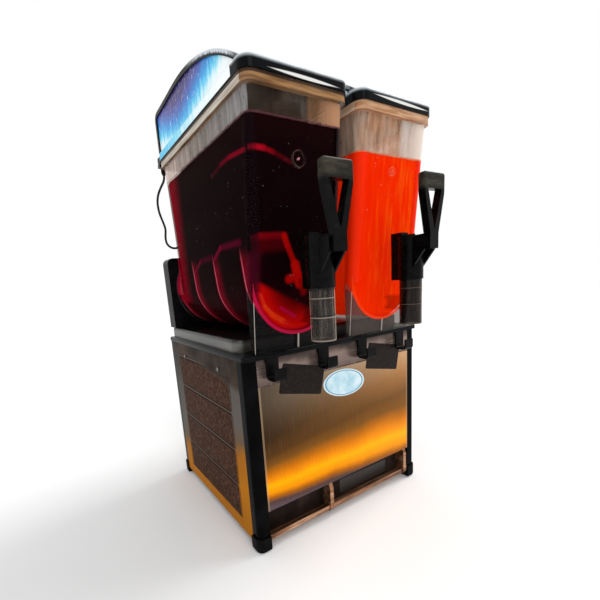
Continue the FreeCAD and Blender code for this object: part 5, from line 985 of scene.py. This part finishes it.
sheetScrews = {
    "headRadius": 0.004,
    "headHeight": 0.0022,
    "shankRadius": 0.002,
    "shankLength": 0.008,
    "recessLength": 0.0042,
    "recessWidth": 0.0009,
    "recessDepth": 0.0011,
    # places of the heads' seats and the ways they face
    "sides": [(side * 0.200, machine["shift"] + along * 0.085, 0.304, side, 0)
              for side in (-1, 1) for along in (-1, 1)],
    "back": [(side * 0.156, 0.2235, height, 0, 1) for side in (-1, 1) for height in (0.035, 0.304)],
}


def selectFaces(test):
    bpy.ops.object.mode_set(mode="OBJECT")
    mesh = bpy.context.object.data
    for face in mesh.polygons:
        face.select = test(face)
    bpy.ops.object.mode_set(mode="EDIT")


def makeScrewHead(look):
    # one screw, standing on the origin with its head up
    bpy.ops.object.select_all(action="DESELECT")
    bpy.ops.mesh.primitive_cylinder_add(vertices=32, radius=look["headRadius"], depth=look["headHeight"],
                                        location=(0, 0, look["headHeight"] / 2))
    head = bpy.context.object
    bpy.ops.object.transform_apply(location=True)
    bpy.ops.object.mode_set(mode="EDIT")
    bpy.ops.mesh.select_mode(type="FACE")
    selectFaces(lambda face: face.normal.z > 0.9)
    bpy.ops.mesh.bevel(offset=look["headHeight"] * 0.62, offset_type="OFFSET", segments=5, profile=0.5,
                       affect="EDGES")
    selectFaces(lambda face: face.normal.z < -0.9)
    bpy.ops.mesh.inset(thickness=look["headRadius"] - look["shankRadius"], depth=0)
    bpy.ops.mesh.extrude_region_move(TRANSFORM_OT_translate={"value": (0, 0, -look["shankLength"])})
    bpy.ops.mesh.bevel(offset=0.0006, segments=2, affect="EDGES")
    bpy.ops.object.mode_set(mode="OBJECT")
    for turn in (0, 1):
        bpy.ops.object.select_all(action="DESELECT")
        bpy.ops.mesh.primitive_cube_add(size=1, location=(0, 0, look["headHeight"]))
        cutter = bpy.context.object
        sides = (look["recessLength"], look["recessWidth"])
        cutter.scale = (sides[turn], sides[1 - turn], 2 * look["recessDepth"])
        bpy.ops.object.transform_apply(location=True, scale=True)
        bpy.context.view_layer.objects.active = head
        recess = head.modifiers.new("recess", "BOOLEAN")
        recess.object = cutter
        recess.operation = "DIFFERENCE"
        bpy.ops.object.modifier_apply(modifier="recess")
        bpy.data.objects.remove(cutter)
    return head


def makeSheetScrews(look):
    head = makeScrewHead(look)
    copies = []
    for number, (x, y, z, outX, outY) in enumerate(look["sides"] + look["back"]):
        copy = head.copy()
        copy.data = head.data.copy()
        bpy.context.scene.collection.objects.link(copy)
        facing = Vector((outX, outY, 0)).to_track_quat("Z", "X").to_matrix().to_4x4()
        turned = Matrix.Rotation(0.4 + 1.1 * number, 4, "Z")  # each was driven home to its own angle
        copy.data.transform(Matrix.Translation((x, y, z)) @ facing @ turned)
        copies.append(copy)
    bpy.data.objects.remove(head)
    bpy.ops.object.select_all(action="DESELECT")
    for copy in copies:
        copy.select_set(True)
    bpy.context.view_layer.objects.active = copies[0]
    bpy.ops.object.join()
    screws = bpy.context.object
    screws.name = "sheetScrews"
    bpy.ops.object.shade_smooth_by_angle(angle=math.radians(35))
    screws.data.materials.append(looks["zincHeads"])
    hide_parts("panel_screws")
    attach(screws, "cabinet")


makeSheetScrews(sheetScrews)
print("screws made")


# blank plate on the kick plate, between the hoops

blankPlate = {
    "from": (-0.004, 0.026),
    "to": (0.128, 0.054),
    "seatY": -0.1205,
    "thick": 0.0006,
    "corner": 0.003,
    "tilt": 0.8,  # degrees, as it was stuck on by hand
}


def makeBlankPlate(look):
    (left, low), (right, high) = look["from"], look["to"]
    bpy.ops.object.select_all(action="DESELECT")
    bpy.ops.mesh.primitive_cube_add(size=1, location=((left + right) / 2, look["seatY"] - look["thick"] / 2,
                                                      (low + high) / 2))
    plate = bpy.context.object
    plate.name = "blankPlate"
    plate.scale = (right - left, look["thick"], high - low)
    plate.rotation_euler = (0, math.radians(look["tilt"]), 0)
    bpy.ops.object.transform_apply(location=True, rotation=True, scale=True)
    rounded = plate.modifiers.new("rounded", "BEVEL")
    rounded.limit_method = "WEIGHT"
    weights = plate.data.attributes.new("bevel_weight_edge", "FLOAT", "EDGE")
    for edge in plate.data.edges:
        start, end = [plate.data.vertices[end].co for end in edge.vertices]
        weights.data[edge.index].value = 1.0 if abs(start.y - end.y) > look["thick"] / 2 else 0.0
    rounded.width = look["corner"]
    rounded.segments = 5
    bpy.ops.object.modifier_apply(modifier="rounded")
    plate.data.materials.append(looks["blankPlate"])
    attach(plate, "cabinet")


makeBlankPlate(blankPlate)
print("blank plate made")


# room and lamps

room = {
    "floorTone": "#ffffff",
    "floorHalf": 6.0,
    "worldLight": 0.64,
    "keySun": {"strength": 1.4, "angle": 30, "from": (1.0, -0.1, 1.1)},
    "fillSun": {"strength": 0.75, "angle": 40, "from": (-0.15, -1.25, 1.1)},
}


def makeRoom(look):
    bpy.ops.object.select_all(action="DESELECT")
    bpy.ops.mesh.primitive_plane_add(size=2 * look["floorHalf"], location=(0, 0, 0))
    floor = bpy.context.object
    floor.name = "floor"
    material, add, _ = newMaterial("paleFloor")
    shader = add("BsdfDiffuse", look["floorTone"])
    floor.data.materials.append(closeMaterial(material, shader))

    world = bpy.data.worlds.new("softRoom")
    bpy.context.scene.world = world
    world.use_nodes = True
    world.node_tree.nodes.clear()
    add = partial(addNode, world.node_tree)
    rays = add("LightPath").outputs
    direct = [rays["Is %s Ray" % way] for way in ("Camera", "Glossy", "Transmission")]
    strength = add("MapRange", chain(add, "MAXIMUM", *direct), 0, 1, look["worldLight"], 1)
    add("OutputWorld", add("Background", (1, 1, 1, 1), strength))

    for name in ("keySun", "fillSun"):
        lamp = bpy.data.lights.new(name, "SUN")
        lamp.energy = look[name]["strength"]
        lamp.angle = math.radians(look[name]["angle"])
        sun = bpy.data.objects.new(name, lamp)
        sun.rotation_euler = Vector(look[name]["from"]).to_track_quat("Z", "Y").to_euler()
        bpy.context.scene.collection.objects.link(sun)


makeRoom(room)
bpy.context.scene.view_settings.view_transform = "Standard"
print("room and lamps set")
